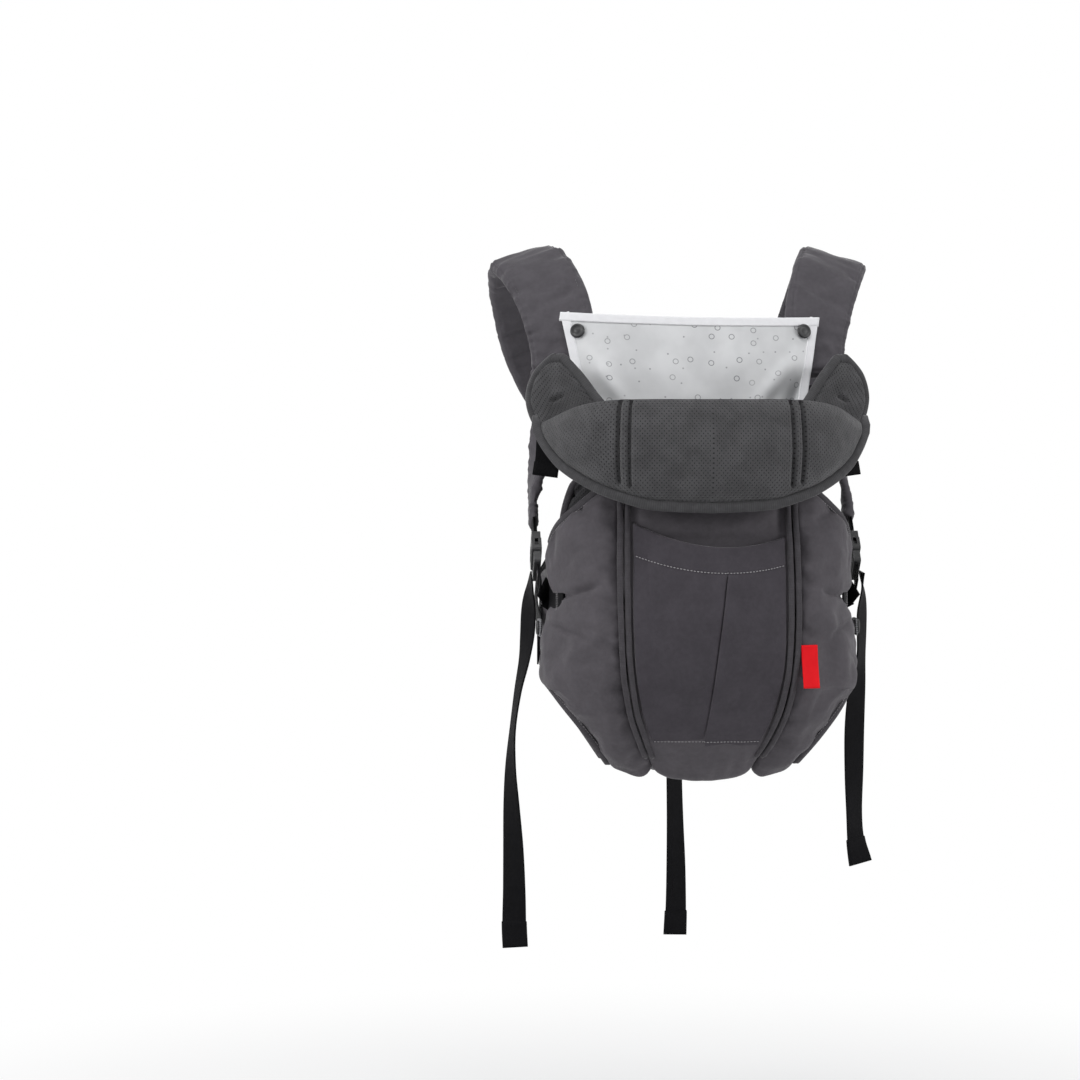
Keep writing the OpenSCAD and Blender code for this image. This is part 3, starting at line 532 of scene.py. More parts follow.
# The side wings. Padded leaves of the same cloth, cut with a hollow for the baby's arm
# above and its leg below; each turns back from the seam to lie along the baby's side.
WING_EDGE = [[0.12, 0.74], [0.18, 0.68], [0.23, 0.67], [0.28, 0.80], [0.32, 0.91], [0.36, 0.97],
             [0.42, 0.995], [0.52, 0.985], [0.6, 1.01], [0.68, 1.035], [0.74, 1.03],
             [0.79, 0.95], [0.87, 0.79], [0.94, 0.66], [1, 0.55]]
wing_back_y, wing_top, wing_foot = -170, 0.12, 0.975
wing_band_v, band_dip = 0.535, 6.5


def wing_turn(v):
    x, p = smooth(WING_EDGE, v) * half_w, panel_x(v)
    return np.arcsin(np.clip((x - p) / (np.maximum(x, half_w) - p), -1, 1))


def wing_point(a, v, off):
    p, q = panel_x(v), panel_y(v) + panel_bow
    x, y = np.maximum(smooth(WING_EDGE, v) * half_w, half_w), np.maximum(wing_back_y, q + 20)
    return np.stack([p + fit + (x - p - fit - off) * np.sin(a), q + off + (y - q - off) * (1 - np.cos(a)),
                     level(v)], -1)


def flipped(grid, *rest):
    """The same grid on the other side of the body, still facing outwards."""
    return [(grid * mirror)[:, ::-1]] + [r[:, ::-1] for r in rest]


mirror = np.array([-1, 1, 1])
SIDES = (("right", 1), ("left", -1))
CREASES = {
    "right": [((154, -352), (108, -342), -4.4, 3), ((152, -374), (118, -386), -3.0, 3.5),
              ((122, -286), (96, -330), 2.0, 7), ((152, -420), (98, -434), 1.6, 9),
              ((130, -262), (104, -272), -3.0, 3)],
    "left": [((152, -352), (104, -336), -4.8, 3), ((154, -376), (112, -392), -3.4, 3.5),
             ((126, -280), (98, -322), 2.0, 7), ((152, -425), (100, -442), 1.6, 9),
             ((150, -254), (118, -262), -3.4, 2.5)],
}
for side, sign in SIDES:
    k, row = np.meshgrid(eased(64), eased(140, 0.15))
    foot = wing_foot + 0.026 * np.sin(np.pi * np.minimum(1, 1.08 * k)) ** 0.6
    v = wing_top + (foot - wing_top) * row
    middle = wing_point(wing_turn(v) * k, v, pad_t / 2)
    band_pull = np.exp(-((level(v) + 353) / 12) ** 2) * np.clip(2 * k - 0.9, 0, 1)
    middle[..., 0] -= band_dip * band_pull
    seam = spans(middle)[1]
    quilt = (3.4 * np.exp(-((seam - 18) / 10) ** 2) + rumple(middle, 34, 3.8, 3 + sign, (0.9, 0.9, 1.1))
             + rumple(middle, 14, 1.2, 5 + sign, (0.7, 0.7, 1.3)) - 1.0 * band_pull
             + rumple(middle, 8, 2.2, 8 + sign, (0.3, 0.3, 1.2)) * np.exp(-(seam / 14) ** 2)
             - 2.2 * np.exp(-(seam / 3.5) ** 2))
    for crease in CREASES[side]:
        quilt = quilt + tuck(middle, *crease)
    if sign < 0:
        middle, quilt = flipped(middle, quilt)
    x, y, z = np.moveaxis(middle, -1, 0)
    by_band = (np.abs(x) > 100) & (np.abs(z + 368) < 48) & (y > -235)
    by_tag = (np.abs(x - 106) < 16) & (np.abs(z + 417) < 28)
    wing = pad(f"wing_{side}_leaf", middle, pad_t, charcoal, soft=9, least=0.25, face=quilt, most=4,
               held=by_band | by_tag)
    dress(wing, "carrier", "shell_cloth", f"wing_{side}", fill=0.6)


# The seams between panel and wings. Two cords of piping in grosgrain tape lie side by
# side down each seam; the arm and leg hollows are bound with a wider folded tape that
# is topstitched through all the layers.
def grosgrain(name, colour, rib=0.0016, uneven=0.22):
    def surface(start):
        ribs = start.make("TexCoord", out="UV").axis("Y").wave(rib)
        fuzz = start.cloud(start.make("TexCoord", out="Object"), 160.0, 4.0)
        base = (fuzz * 0.8 + ribs * 0.12).between(0.2, 0.8).dyed_lot(colour, uneven)
        return start.handle(base, 0.72 + fuzz * 0.15, ribs * 0.05 + fuzz * 0.4, 0.8, 0.1, 0.15, 0.4)
    return finish(name, surface)


def spun(name, dark, pale, nap=0.2):
    """Sewing thread."""
    def surface(start):
        shade = start.cloud(start.make("TexCoord", out="Object"), 900.0).dye(dark, pale)
        return start.make("BsdfPrincipled", {}, {"Base Color": shade, "Roughness": 0.6, "Sheen Weight": nap})
    return finish(name, surface)


binding_tape = grosgrain("binding_tape", (0.060, 0.056, 0.062))
thread_grey = spun("grey_thread", (0.20, 0.19, 0.20), (0.32, 0.31, 0.32))
thread_dark = spun("dark_thread", (0.035, 0.034, 0.036), (0.06, 0.058, 0.062))


def round_outline(n, power):
    """A round outline that a power under 1 squares up a little."""
    t = np.linspace(0, 2 * math.pi, n, endpoint=False)
    return np.stack([0.5 * np.sign(part) * np.abs(part) ** power for part in (np.cos(t), np.sin(t))], 1)


def tape(name, path, way, width, thick, cloth, n=12, power=0.8):
    """A rounded cord or folded tape along a path."""
    path = np.asarray(path, float)
    width = np.broadcast_to(width, len(path)).astype(float)
    close = np.clip(np.minimum(run_of(path), run_of(path)[-1] - run_of(path)) / (thick * 0.5), 0.25, 1) ** 0.5
    return sew(name, ring_round(path, way, width * close, thick * close, round_outline(n, power)), cloth)


def stitches(name, path, face, body, pitch=3.4, long=2.3, thick=0.55, thread=None):
    """A row of stitches along a line on a cloth face, each a short sunk thread."""
    path, face = np.asarray(path, float), np.broadcast_to(face, np.shape(path))
    run = run_of(path)
    count = max(2, int(run[-1] / pitch))
    at = (np.arange(count) + 0.5) * run[-1] / count
    mid, out = read(path, run, at), units(read(face, run, at))
    way = units(read(path, run, np.minimum(at + 0.5, run[-1])) - read(path, run, np.maximum(at - 0.5, 0)))
    over = np.cross(way, out)
    slices, girth = (-0.5, -0.32, 0, 0.32, 0.5), (0.25, 0.85, 1, 0.85, 0.25)
    turn = np.linspace(0, 2 * math.pi, 6, endpoint=False)
    verts, faces = [], []
    for m, o, w, s in zip(mid, out, way, over):
        base = len(verts)
        for along_it, g in zip(slices, girth):
            verts += [m + w * along_it * long
                      + thick * 0.5 * g * (s * math.cos(t) + o * (math.sin(t) + 0.2)) for t in turn]
        for i in range(4):
            for k in range(6):
                j = (k + 1) % 6
                faces.append((base + i * 6 + k, base + i * 6 + j, base + i * 6 + 6 + j, base + i * 6 + 6 + k))
        faces += [tuple(base + k for k in range(5, -1, -1)), tuple(base + 24 + k for k in range(6))]
    mesh = bpy.data.meshes.new(name)
    mesh.from_pydata(np.array(verts) * 0.001, [], faces)
    dress(cut_out(name, mesh, thread or thread_grey), body, "binding_tape")


def rim(v):
    """The middle of a wing's cut edge at v, the way out of its padding, and its face."""
    def edge(w, off): return wing_point(wing_turn(w), w, off)
    way = edge(v + 0.01, pad_t / 2) - edge(v - 0.01, pad_t / 2)
    face = edge(v, 0) - edge(v, pad_t)
    return edge(v, pad_t / 2), units(np.cross(face, way)), units(face)


v = 0.02 + 0.93 * np.linspace(0, 1, 120)
fall, drop = panel_y(v + 0.01) - panel_y(v - 0.01), level(v - 0.01) - level(v + 0.01)
lie = units(np.stack([0 * v, drop, fall], 1))
for side, sign in SIDES:
    cords = []
    for k in (-1, 1):
        centre = np.stack([panel_x(v) + k * 3.7, panel_y(v) + panel_bow, level(v)], 1) - lie * 2.6
        wave = rumple(np.array([centre]), 26, 0.5, 7 + k + sign)[0]
        centre = (centre + np.stack([wave, 0 * v, 0 * v], 1)) * [sign, 1, 1]
        cord = tape(f"piping_{side}_{'inner' if k < 0 else 'outer'}", centre, lie, 5.9, 5.9, binding_tape)
        cords.append(dress(cord, "carrier", "binding_tape", "pipings"))
    for name, (v0, v1) in (("arm", (0.13, 0.39)), ("leg", (0.76, 0.985))):
        w = np.linspace(v0 - 0.004, v1 + (0.004 if name == "arm" else -0.014), 60)
        edge, out, face = (rows * [sign, 1, 1] for rows in rim(w))
        bound = tape(f"{name}_binding_{side}", edge + out * 1.0, face, 12.5, 9, binding_tape, 16, 0.7)
        dress(bound, "carrier", "binding_tape", f"{name}_bindings")
        if name == "leg":
            second = (edge + out * 6.5 - face * 7)[4:-5]
            roll = tape(f"leg_elastic_roll_{side}", second, face[4:-5], 10, 8, binding_tape, 14, 0.8)
            dress(roll, "carrier", "binding_tape")
        for row, lift, thread in (("edge", 2.6, thread_grey), ("inner", 5.0, thread_dark)):
            stitches(f"{name}_stitch_{row}_{side}", edge - out * lift + face * 6.6, face, "carrier",
                     thread=thread)


# The front pocket. A single leaf of the cloth held in the two seams, with a tuck at its
# middle and a doubled, topstitched mouth that gapes open over the panel.
pocket_top, pocket_bottom, pocket_t, pocket_gape, piping_d = share_down(-273), 0.92, 1.6, 16, 5


def pocket_half(v): return panel_x(v) - piping_d - 4


def pocket_point(u, s, off):
    dip = (0.042 * (1 - u * u) + 0.019 * (1 + u)) * (1 - s)
    v = pocket_top + dip + s * (pocket_bottom - pocket_top - dip)
    gape = pocket_gape * (1 - u * u) * (1 - s) ** 2.2
    slack = 2.5 * np.sin(np.pi * s) * (1 - u * u)
    x = u * pocket_half(v)
    return np.stack([x, panel_y(v) + panel_bow * (x / panel_x(v)) ** 2 - 2 * fit - pocket_t - gape - slack + off,
                     level(v)], -1)


w, s = np.meshgrid(np.linspace(-1, 1, 201), np.linspace(0, 1, 150))
spine = pocket_point(0.1 + 0 * s, s, 0)
half_here = pocket_half(share_down(spine[..., 2]))
tuck_u = np.interp(-spine[..., 2], [328, 487], [17, -2]) / half_here
u = tuck_u + np.abs(w) ** 1.35 * np.where(w < 0, -1 - tuck_u, 1 - tuck_u)
past = (u - tuck_u) * half_here
middle = pocket_point(u, s, pocket_t / 2)
x = middle[..., 0]
# the tuck runs from the mouth's stitching, slightly slanted, to the foot seam
tuck_in = 1 / (1 + np.exp(-(s - 0.165) / 0.012))
tuck_fold = (2.4 * np.exp(-np.clip(past, 0, None) / 15) * (past > 0) * (1 - 0.6 * s)
             - 3.4 * np.exp(-((past + 0.9) / 0.9) ** 2) * (1 - 0.4 * s)) * tuck_in
side_tuck = 1.0 * np.exp(-((x + 64 - 10 * s) / 2.2) ** 2) * (s > 0.12) * (1 - s)
face = (tuck_fold + rumple(middle, 32, 2.6, 11, (1.4, 1, 0.5)) * np.minimum(1, 4 * s * (1 - s) + 0.2)
        - side_tuck - 0.4 * np.exp(-((s - 0.145) / 0.006) ** 2) + 0.3 * (s < 0.14))
middle = middle + outward(middle) * face[..., None]
# The pocket is the shell cloth dyed about a third darker: painted shade, where the panel below it catches more
# light.
pocket_cloth_painted_shade = woven("pocket_cloth_painted_shade", (0.054, 0.049, 0.057), nap=0.15)
pocket = pad("pocket_leaf", middle, pocket_t, pocket_cloth_painted_shade, soft=0.9)
dress(pocket, "carrier", "shell_cloth", "pocket")
facing = outward(middle)
for name, row, lift, thick in (("mouth", 21, 1.15, 1.0), ("foot", -5, 1.1, 0.9)):
    stitches(f"pocket_stitch_{name}", (middle[row] + facing[row] * lift)[2:-2], facing[row][2:-2], "carrier",
             thick=thick)


# The tag. A folded loop of plain red satin tape, caught in the right hand seam, bare.
def satin_tape(start):
    cut = start.make("TexCoord", out="UV")
    fine = cut.axis("Y").wave(0.0007) * 0.5 + cut.axis("X").wave(0.0011) * 0.5
    tone = start.cloud(cut, 90.0, 3.0)
    return start.handle(tone.dye((0.62, 0.005, 0.010), (0.78, 0.010, 0.016)), 0.42 + tone * 0.15,
                        fine * 0.04 + tone * 0.2)


tag_red = finish("red_tape", satin_tape)
tag_v, tag_in, tag_lift, tag_half, tag_tall, gape = np.array(0.703), 15.3, 6.4, 8.5, 43, 0.9
tag_turn = math.asin(tag_in / float(smooth(WING_EDGE, tag_v) * half_w - panel_x(tag_v)))
corner = wing_point(np.array(tag_turn), tag_v, -tag_lift)
t = np.linspace(0, 1, 22)
turn = math.radians(18)
spin = np.array([[math.cos(turn), -math.sin(turn)], [math.sin(turn), math.cos(turn)]])
rows = []
for z in np.linspace(tag_tall / 2, -tag_tall / 2, 24):
    bend = 0.5 * math.cos(z / 9)
    outline = [(-tag_half + 2 * tag_half * a, -0.65 - gape * a + bend) for a in t]
    outline += [(tag_half + 0.5 * math.sin(b), -0.65 + bend - gape * math.cos(b)) for b in np.linspace(0.5, 2.6, 5)]
    outline += [(tag_half - 2 * tag_half * a, 0.25 + bend * 0.6) for a in t]
    flat = np.array(outline) @ spin.T
    lean = math.radians(5) * z
    rows.append([(corner[0] + p[0] - 0.05 * z, corner[1] + p[1] + lean, corner[2] + z) for p in flat])
tag = sew("red_tag_loop", rows, tag_red)
dress(tag, "carrier", "tag_tape", "red_tag")


# The headrest's ears. Padded lobes of air mesh that stand up from the wings' tops and
# are kept there by the upper buckles; the binding tape of the headrest runs round them.
upper_y, base_l, hinge_y = -148.5, 15.4, -262
headrest_w, headrest_t, headrest_h = 326, 22, 104
ear_x, ear_t, ear_h, ear_low = headrest_w / 2 - 18, 13, 80, level(wing_top) + 6
ear_reach = ear_x - panel_x(np.array(wing_top)) - 8.5
ear_depth = (upper_y - base_l - hinge_y - ear_t - 5) / 80
EAR_IN = [[0, -1], [0.3, -0.923], [0.55, -0.654], [0.8, -0.385], [1, -0.115]]
EAR_OUT = [[0, 6], [0.2, 20], [0.45, 27], [0.65, 26], [0.85, 19], [1, 7]]
EAR_BACK = [[-60, 16], [-28, 46], [0, 66], [25, 80]]


def air_mesh_cloth(name, colour, pitch=0.0036):
    """Spacer mesh: small holes in staggered rows, sunk in a knitted face."""
    def surface(start):
        cut, place = start.make("TexCoord", out="UV"), start.make("TexCoord", out="Object")
        wide, tall = 1.25, 1.35
        x, y = cut.axis("X") / (pitch * wide), cut.axis("Y") / (pitch * tall)

        def hole(shift):
            dx, dy = ((x + shift) % 1.0 - 0.5) * wide, ((y + shift) % 1.0 - 0.5) * tall
            return start.maths("SQRT", dx * dx * 1.7 + dy * dy)

        pit = 1 - start.maths("MINIMUM", hole(0.0), hole(0.5)).between(0.13, 0.28)
        knit = cut.axis("X").wave(0.0009) * cut.axis("Y").wave(0.0011)
        soft = start.cloud(place, 55.0, 4.0)
        # The holes are coloured near black: painted shade inside them, over their sunk bump.
        base = (pit * 0.85).dye(soft.between(0.25, 0.75).dyed_lot(colour, 0.16), (0.010, 0.010, 0.011))
        return start.handle(base, 0.82 + soft * 0.1, soft * 0.9 - pit * 0.7 + knit * 0.08, 0.9,
                            nap=0.2, nap_rough=0.45)
    return finish(name, surface)


air_mesh = air_mesh_cloth("air_mesh", (0.071, 0.070, 0.073))


def ear_point(s, k, off):
    inner = ear_reach * smooth(EAR_IN, s)
    x = inner + k * (smooth(EAR_OUT, s) - inner)
    return np.stack([ear_x + x, hinge_y + ear_depth * smooth(EAR_BACK, x) + off, ear_low + ear_h * s + 0 * k], -1)


knit_tape = grosgrain("knit_tape", (0.062, 0.061, 0.064), 0.0022)
for side, sign in SIDES:
    k, s = np.meshgrid(eased(36), 1 - eased(50))
    middle = ear_point(s, k, ear_t / 2)
    slit = (middle[..., 2] - ear_low - 40 + 0.5 * (middle[..., 0] - ear_x)) / 1.7
    dimple = -5.5 * np.exp(-((middle[..., 0] - ear_x + 2) / 6) ** 4 - slit ** 2)
    face = rumple(middle, 18, 1.2, 21 + sign) + dimple
    if sign < 0:
        middle, face = flipped(middle, face)
    lobe = pad(f"ear_{side}_lobe", middle, ear_t, air_mesh, soft=8, least=0.2, face=face)
    dress(lobe, "carrier", "air_mesh", f"ear_{side}", fill=0.5)
    s_up = np.linspace(0.02, 1, 40)
    outer = ear_point(s_up, np.ones(40), ear_t / 2)
    inner = ear_point(s_up[::-1], np.zeros(40), ear_t / 2)
    top = ear_point(np.ones(5), np.linspace(0.85, 0.15, 5), ear_t / 2) + [0, 0, 1.5]
    path = along(np.concatenate([outer[::4], top, inner[::4]]), 110) * [sign, 1, 1]
    tape_round = tape(f"ear_{side}_binding", path, np.tile([0.12 * sign, 1, 0.0], (len(path), 1)), 12, 9.5,
                      knit_tape, 16, 0.7)
    dress(tape_round, "carrier", "binding_tape")


# The headrest. A crescent of thick wadding, air mesh towards the baby and charcoal cloth
# behind, quilted by two double rows of stitching and bound along its outer edge; it is
# folded down over the panel and swings up on the fold.
flap_half = headrest_w / 2
FLAP_TOP = [[0, 0], [0.6, -1], [0.8, -7], [0.95, -19], [1, -24]]
FLAP_LOW = [[0, 1], [0.36, 0.97], [0.53, 0.9], [0.69, 0.8], [0.865, 0.62], [0.95, 0.45], [1, 0.30]]
FLAP_TURN = [[0, -0.233], [0.4, -0.202], [0.62, -0.135], [0.8, 0], [0.92, 0.147], [1, 0.264]]


def flap_point(k, s, off):
    u = np.abs(k)
    top, low = fold_z + smooth(FLAP_TOP, u), fold_z - headrest_h * smooth(FLAP_LOW, u)
    swell = np.sin(np.pi * np.clip(s, 0, 1))
    soft = headrest_t * (0.45 + 0.55 * np.sqrt(swell)) * (1 - 0.45 * u ** 4)
    turn = smooth(FLAP_TURN, u) * flap_half
    turn = np.where(turn > 0, turn * ear_depth, turn)
    return np.stack([k * flap_half, hinge_y + turn + headrest_t / 2 + off * soft / 2,
                     top + s * (low - top)], -1)


k, s = np.meshgrid(2 * eased(260, 0.25) - 1, eased(64, 0.5))
middle = flap_point(k, s, 0)
down, over = spans(middle)
x = middle[..., 0]
seam_x, seam_deep = (79, 89), 6.0
seam = sum(np.exp(-((np.abs(x) - at) / 1.7) ** 2) for at in seam_x)
stop = np.clip((0.93 - s) / 0.05, 0, 1)
thick = (flap_point(k, s, 1) - flap_point(k, s, -1))[..., 1]
edge_round = plump(down, over, 15)
out = outward(middle)
crown = np.sin(np.pi * s) * (2.4 * (1 - np.abs(k) ** 6) + 3.2 * np.exp(-(x / 72) ** 8)
                             + 2.4 * np.exp(-((np.abs(x) - 117) / 20) ** 2))
front = middle + out * (edge_round * thick / 2 * 0.96 + crown * edge_round - seam_deep * seam * stop
                        + rumple(middle, 30, 1.2, 31) + rumple(middle, 11, 0.5, 32))[..., None]
rear = middle - out * (edge_round * thick / 2 * 0.96 - 0.3 + rumple(middle, 26, 0.8, 33))[..., None]
core = middle + out * (0.05 * thick)[..., None]
for part, slot, node in (
        (two_faced("headrest_mesh_face", front, core, air_mesh, down, over), "air_mesh", "headrest_pad"),
        (two_faced("headrest_rear_cover", core, rear, charcoal, down, over), "shell_cloth", "headrest_shell")):
    dress(part, "headrest", slot, node, fill=0.8)
k = np.linspace(-1, 1, 150)
edge = flap_point(k, np.ones(150), 0)
way = units(np.gradient(edge, axis=0))
out = units(np.stack([way[:, 2], 0 * k, -way[:, 0]], 1))
round_path, round_way = edge + out * 3.6, np.cross(way, out) * 0.2 + out
turn_in = np.array([[1.5, 5, 7], [3.0, 12, 16]])
round_path = np.concatenate([(round_path[0] + turn_in * mirror)[::-1], round_path, round_path[-1] + turn_in])
round_way = np.concatenate([[[-1, 0.2, 0.1]] * 2, round_way, [[1, 0.2, 0.1]] * 2])
bound = tape("headrest_bound_edge", round_path, round_way, 11, 10, knit_tape, 16, 0.7)
dress(bound, "headrest", "binding_tape", "headrest_binding")
facing = np.cross(way, out)
for row, lift in (("edge", 1.2), ("inner", -2.2)):
    stitches(f"headrest_stitch_{row}", (edge + out * lift + facing * 5.0)[4:-4], facing[4:-4], "headrest",
             thread=thread_dark)


# The fold. A strip of the same cloth, lightly padded, joins the panel's top edge to the
# headrest behind its lower edge.
fold_half = 84
t, k = np.meshgrid(np.linspace(0, 1, 26), np.linspace(-1, 1, 60), indexing="ij")
reach = fold_half - 2 * t
turn = np.minimum(smooth(FLAP_TURN, np.abs(k) * 0.52), 0) * flap_half
start_y, end_y = -front_y + 45 + panel_bow * k * k + 5, hinge_y + turn + 9
middle = np.stack([reach * k, start_y + (end_y - start_y) * t, fold_z - 9 + 5 * np.sin(np.pi * t)], -1)[::-1]
hinge_cloth = pad("headrest_fold_cloth", middle, 5, charcoal, soft=2.5,
                  face=rumple(middle, 14, 1.2, 41, (1, 0.5, 1)))
start_y.min() * 0.001
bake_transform(hinge_cloth)


# The snaps. Pressed caps of black acetal 15 mm across with a rolled rim and a shallow
# dished face, riveted through the cloth; the strap studs and the tab caps match them.
def acetal(start):
    place = start.make("TexCoord", out="Object")
    grain, smear = start.cloud(place, 700.0, 3.0), start.cloud(place, 50.0, 3.0)
    return start.handle(smear.dye((0.010, 0.010, 0.011), (0.020, 0.020, 0.022)), 0.36 + smear * 0.2,
                        grain * 0.05 + smear * 0.05, 0.7, 0.45)


black_acetal = finish("black_acetal", acetal)
CAP = [(0, 0.0), (7.5, 0.0), (7.7, 0.5), (7.6, 1.4), (7.0, 2.2), (6.2, 2.5), (5.6, 2.35), (5.1, 1.9),
       (4.3, 1.6), (2.6, 1.5), (2.2, 1.75), (1.2, 1.85), (0, 1.85)]


def snap_cap(name, at, facing, body, size=1.0, node=None):
    """A cap whose back lies at a point and which faces the given way."""
    facing = units(np.array(facing, float))
    side = units(np.cross(facing, [0.1, 0.2, 1]))
    up = np.cross(side, facing)
    t = np.linspace(0, 2 * math.pi, 40, endpoint=False)
    rings = [[np.array(at) + size * (r * (side * math.cos(a) + up * math.sin(a)) + h * facing) for a in t]
             for r, h in CAP]
    cap = sew(name, rings, black_acetal, ends=False)
    return dress(cap, body, "snap_plastic", *([node] if node else []))


# The bib. One leaf of pale grey satin, strewn with a small print of rings and dots, edged
# with white tape folded over its top and sides; snapped to the straps at its top corners.
bib_top_y, bib_top_z, bib_w, bib_h, bib_t = -113, -62, 268, 184, 2
bib_low_w, bib_bend, snap_in, inner_drop = 0.74, 15, 13, 226
bib_low_y = bib_top_y - 40 * bib_h / (inner_drop + bib_top_z)


def bib_point(k, s, off):
    return np.stack([k * bib_w / 2 * (1 + s * (bib_low_w - 1)),
                     bib_top_y + s * (bib_low_y - bib_top_y) - 6 * np.sin(np.pi * s) * (1 - k * k)
                     + bib_bend * k ** 4 * (1 - s) ** 2 + off,
                     bib_top_z - bib_h * s - (3 * (1 - k * k) + 2.5 * k) * (1 - s)], -1)


def satin_print(start):
    cut, place = start.make("TexCoord", out="UV"), start.make("TexCoord", out="Object")

    def scatter(scale, random, shift):
        """How far, in millimetres, the nearest motif's middle is, and a number for each motif."""
        moved = start.make("VectorMath", {"operation": "ADD"}, {0: cut, 1: shift})
        cell = ({"voronoi_dimensions": "2D", "feature": "F1"},
                {"Vector": moved, "Scale": scale, "Randomness": random})
        far, which = (start.make("TexVoronoi", *cell, out) for out in ("Distance", "Color"))
        return far * (1000 / scale), which

    ring_far, ring_which = scatter(46.0, 0.8, (0.013, 0.004, 0))
    dot_far, dot_which = scatter(62.0, 0.6, (0.031, 0.017, 0))
    ring = (1 - abs(ring_far - 2.7).between(0.28, 0.60)) * ring_which.axis("X").between(0.44, 0.46)
    dot = (1 - dot_far.between(0.75, 1.15)) * dot_which.axis("Y").between(0.5, 0.52)
    ink = start.maths("MAXIMUM", ring, dot * 0.8) * (0.55 + 0.35 * ring_which.axis("Z"))
    cloud = start.cloud(place, 24.0, 3.0)
    cloth = cloud.between(0.3, 0.7).dye((0.50, 0.505, 0.515), (0.60, 0.605, 0.615))
    weave = cut.axis("Y").wave(0.0007) * cut.axis("X").wave(0.0007)
    return start.handle(ink.dye(cloth, (0.13, 0.135, 0.145)), 0.46 + cloud * 0.16,
                        cloud * 1.1 + weave * 0.02, 0.8, 0.4, 0.1)


satin = finish("grey_satin", satin_print)
white_tape = grosgrain("white_tape", (0.74, 0.74, 0.76), 0.001, 0.04)
k, s = np.meshgrid(np.linspace(-1, 1, 150), np.linspace(0, 1, 110))
middle = bib_point(k, s, -bib_t / 2)
slump = (np.sin(np.pi * s) * (1 - k ** 4) * 1.2 + rumple(middle, 60, 2.2, 51, (1, 1, 0.8))
         + rumple(middle, 22, 0.8, 52, (1.4, 1, 0.8)))
for a, b, depth, width in (((-118, -92), (-62, -168), 5.0, 9), ((-124, -120), (-88, -190), -7.0, 6),
                           ((116, -96), (58, -164), 4.6, 9), ((122, -118), (84, -188), -7.2, 7),
                           ((-100, -150), (-40, -196), 2.2, 8), ((98, -148), (44, -200), 2.4, 8)):
    slump = slump + tuck(middle, a, b, depth, width, 0.4)
free = np.clip(1.0 - ((np.abs(k) - 0.86) / 0.14).clip(0, 1) * (1 - s) * 0.9, 0, 1) * np.clip(s * 8, 0.15, 1)
middle = middle + outward(middle) * (slump * free)[..., None]
leaf = pad("bib_leaf", middle, 1.1, satin, soft=0.6)
dress(leaf, "bib", "bib_satin", "bib")
face = outward(middle)
thread_white = spun("white_thread", (0.60, 0.60, 0.62), (0.74, 0.74, 0.76), nap=0.0)
for name, at, turn, thick in (("top", np.s_[0], 1, 2.7), ("left", np.s_[:, 0], -1, 2.4),
                              ("right", np.s_[:, -1], 1, 2.4)):
    edge, facing = middle[at], face[at]
    inward = turn * units(np.cross(units(np.gradient(edge, axis=0)), facing))
    lie, wide = edge, inward
    if name == "top":
        over = 1.8 * units(edge[1] - edge[0])
        lie = np.concatenate([[edge[0] - over], edge, [edge[-1] + over]])
        wide = inward[[0, *range(len(edge)), -1]]
    rings = ring_round(lie + wide * 3.0, wide, 9.6, thick, flat_outline(7))
    dress(sew(f"bib_tape_{name}", rings, white_tape), "bib", "bib_tape", "bib_binding")
    line = edge + inward * 6.6 + facing * 1.3
    stitches(f"bib_stitch_{name}", line[3:-3], facing[3:-3], "bib", thread=thread_white, thick=0.4)
snap_point = bib_point(np.array(1 - 2 * snap_in / bib_w), np.array(snap_in / bib_h), 0)
tilt = [0.30, -0.93, 0.24]
for side, sign in SIDES:
    out = np.array(tilt) * [sign, 1, 1]
    snap_cap(f"bib_cap_{side}", (snap_point - [0, bib_t + 0.9, 0]) * [sign, 1, 1], out, "bib", node="bib_snaps")
    snap_cap(f"strap_stud_{side}", (snap_point + [0, 3.2, 0]) * [sign, 1, 1] - out * 1.2, out, "carrier", 0.7,
             node="snap_studs")
low_v = share_down(fold_z - 60)
snap_cap("panel_cap", [0, float(panel_y(np.array(low_v))) - 0.6, fold_z - 60], [0, -1, 0.05], "carrier")
hook = flap_point(np.array(0.0), np.array(60 / headrest_h), 1)
snap_cap("headrest_cap", hook + [0, -0.4, 0], [0, 1, 0], "headrest", 0.95, node="headrest_snap")


# The seat and the panel against the wearer. The cloth turns under the baby as a short
# padded seat and meets a leaf of quilted mesh lining that lies on the wearer's chest,
# bound round its sides and top.
lap_y, inner_t, inner_z = -146, 10, level(panel_end) + 2.5
INNER_HALF = [[0, 112], [0.05, 126], [0.2, 136], [0.4, 130], [0.6, 112], [0.78, 88],
              [0.92, 66], [1, 56]]
lining = air_mesh_cloth("lining_mesh", (0.047, 0.046, 0.049), 0.0030)


def quilting(grid, pitch, depth):
    """Grooves of a diamond quilting sewn through a leaf."""
    width = 2.0
    ways = [(grid[..., 0] + turn * grid[..., 2]) / math.sqrt(2) for turn in (-1, 1)]
    return -depth * sum(np.exp(-(((way + pitch / 2) % pitch - pitch / 2) / width) ** 2) for way in ways)


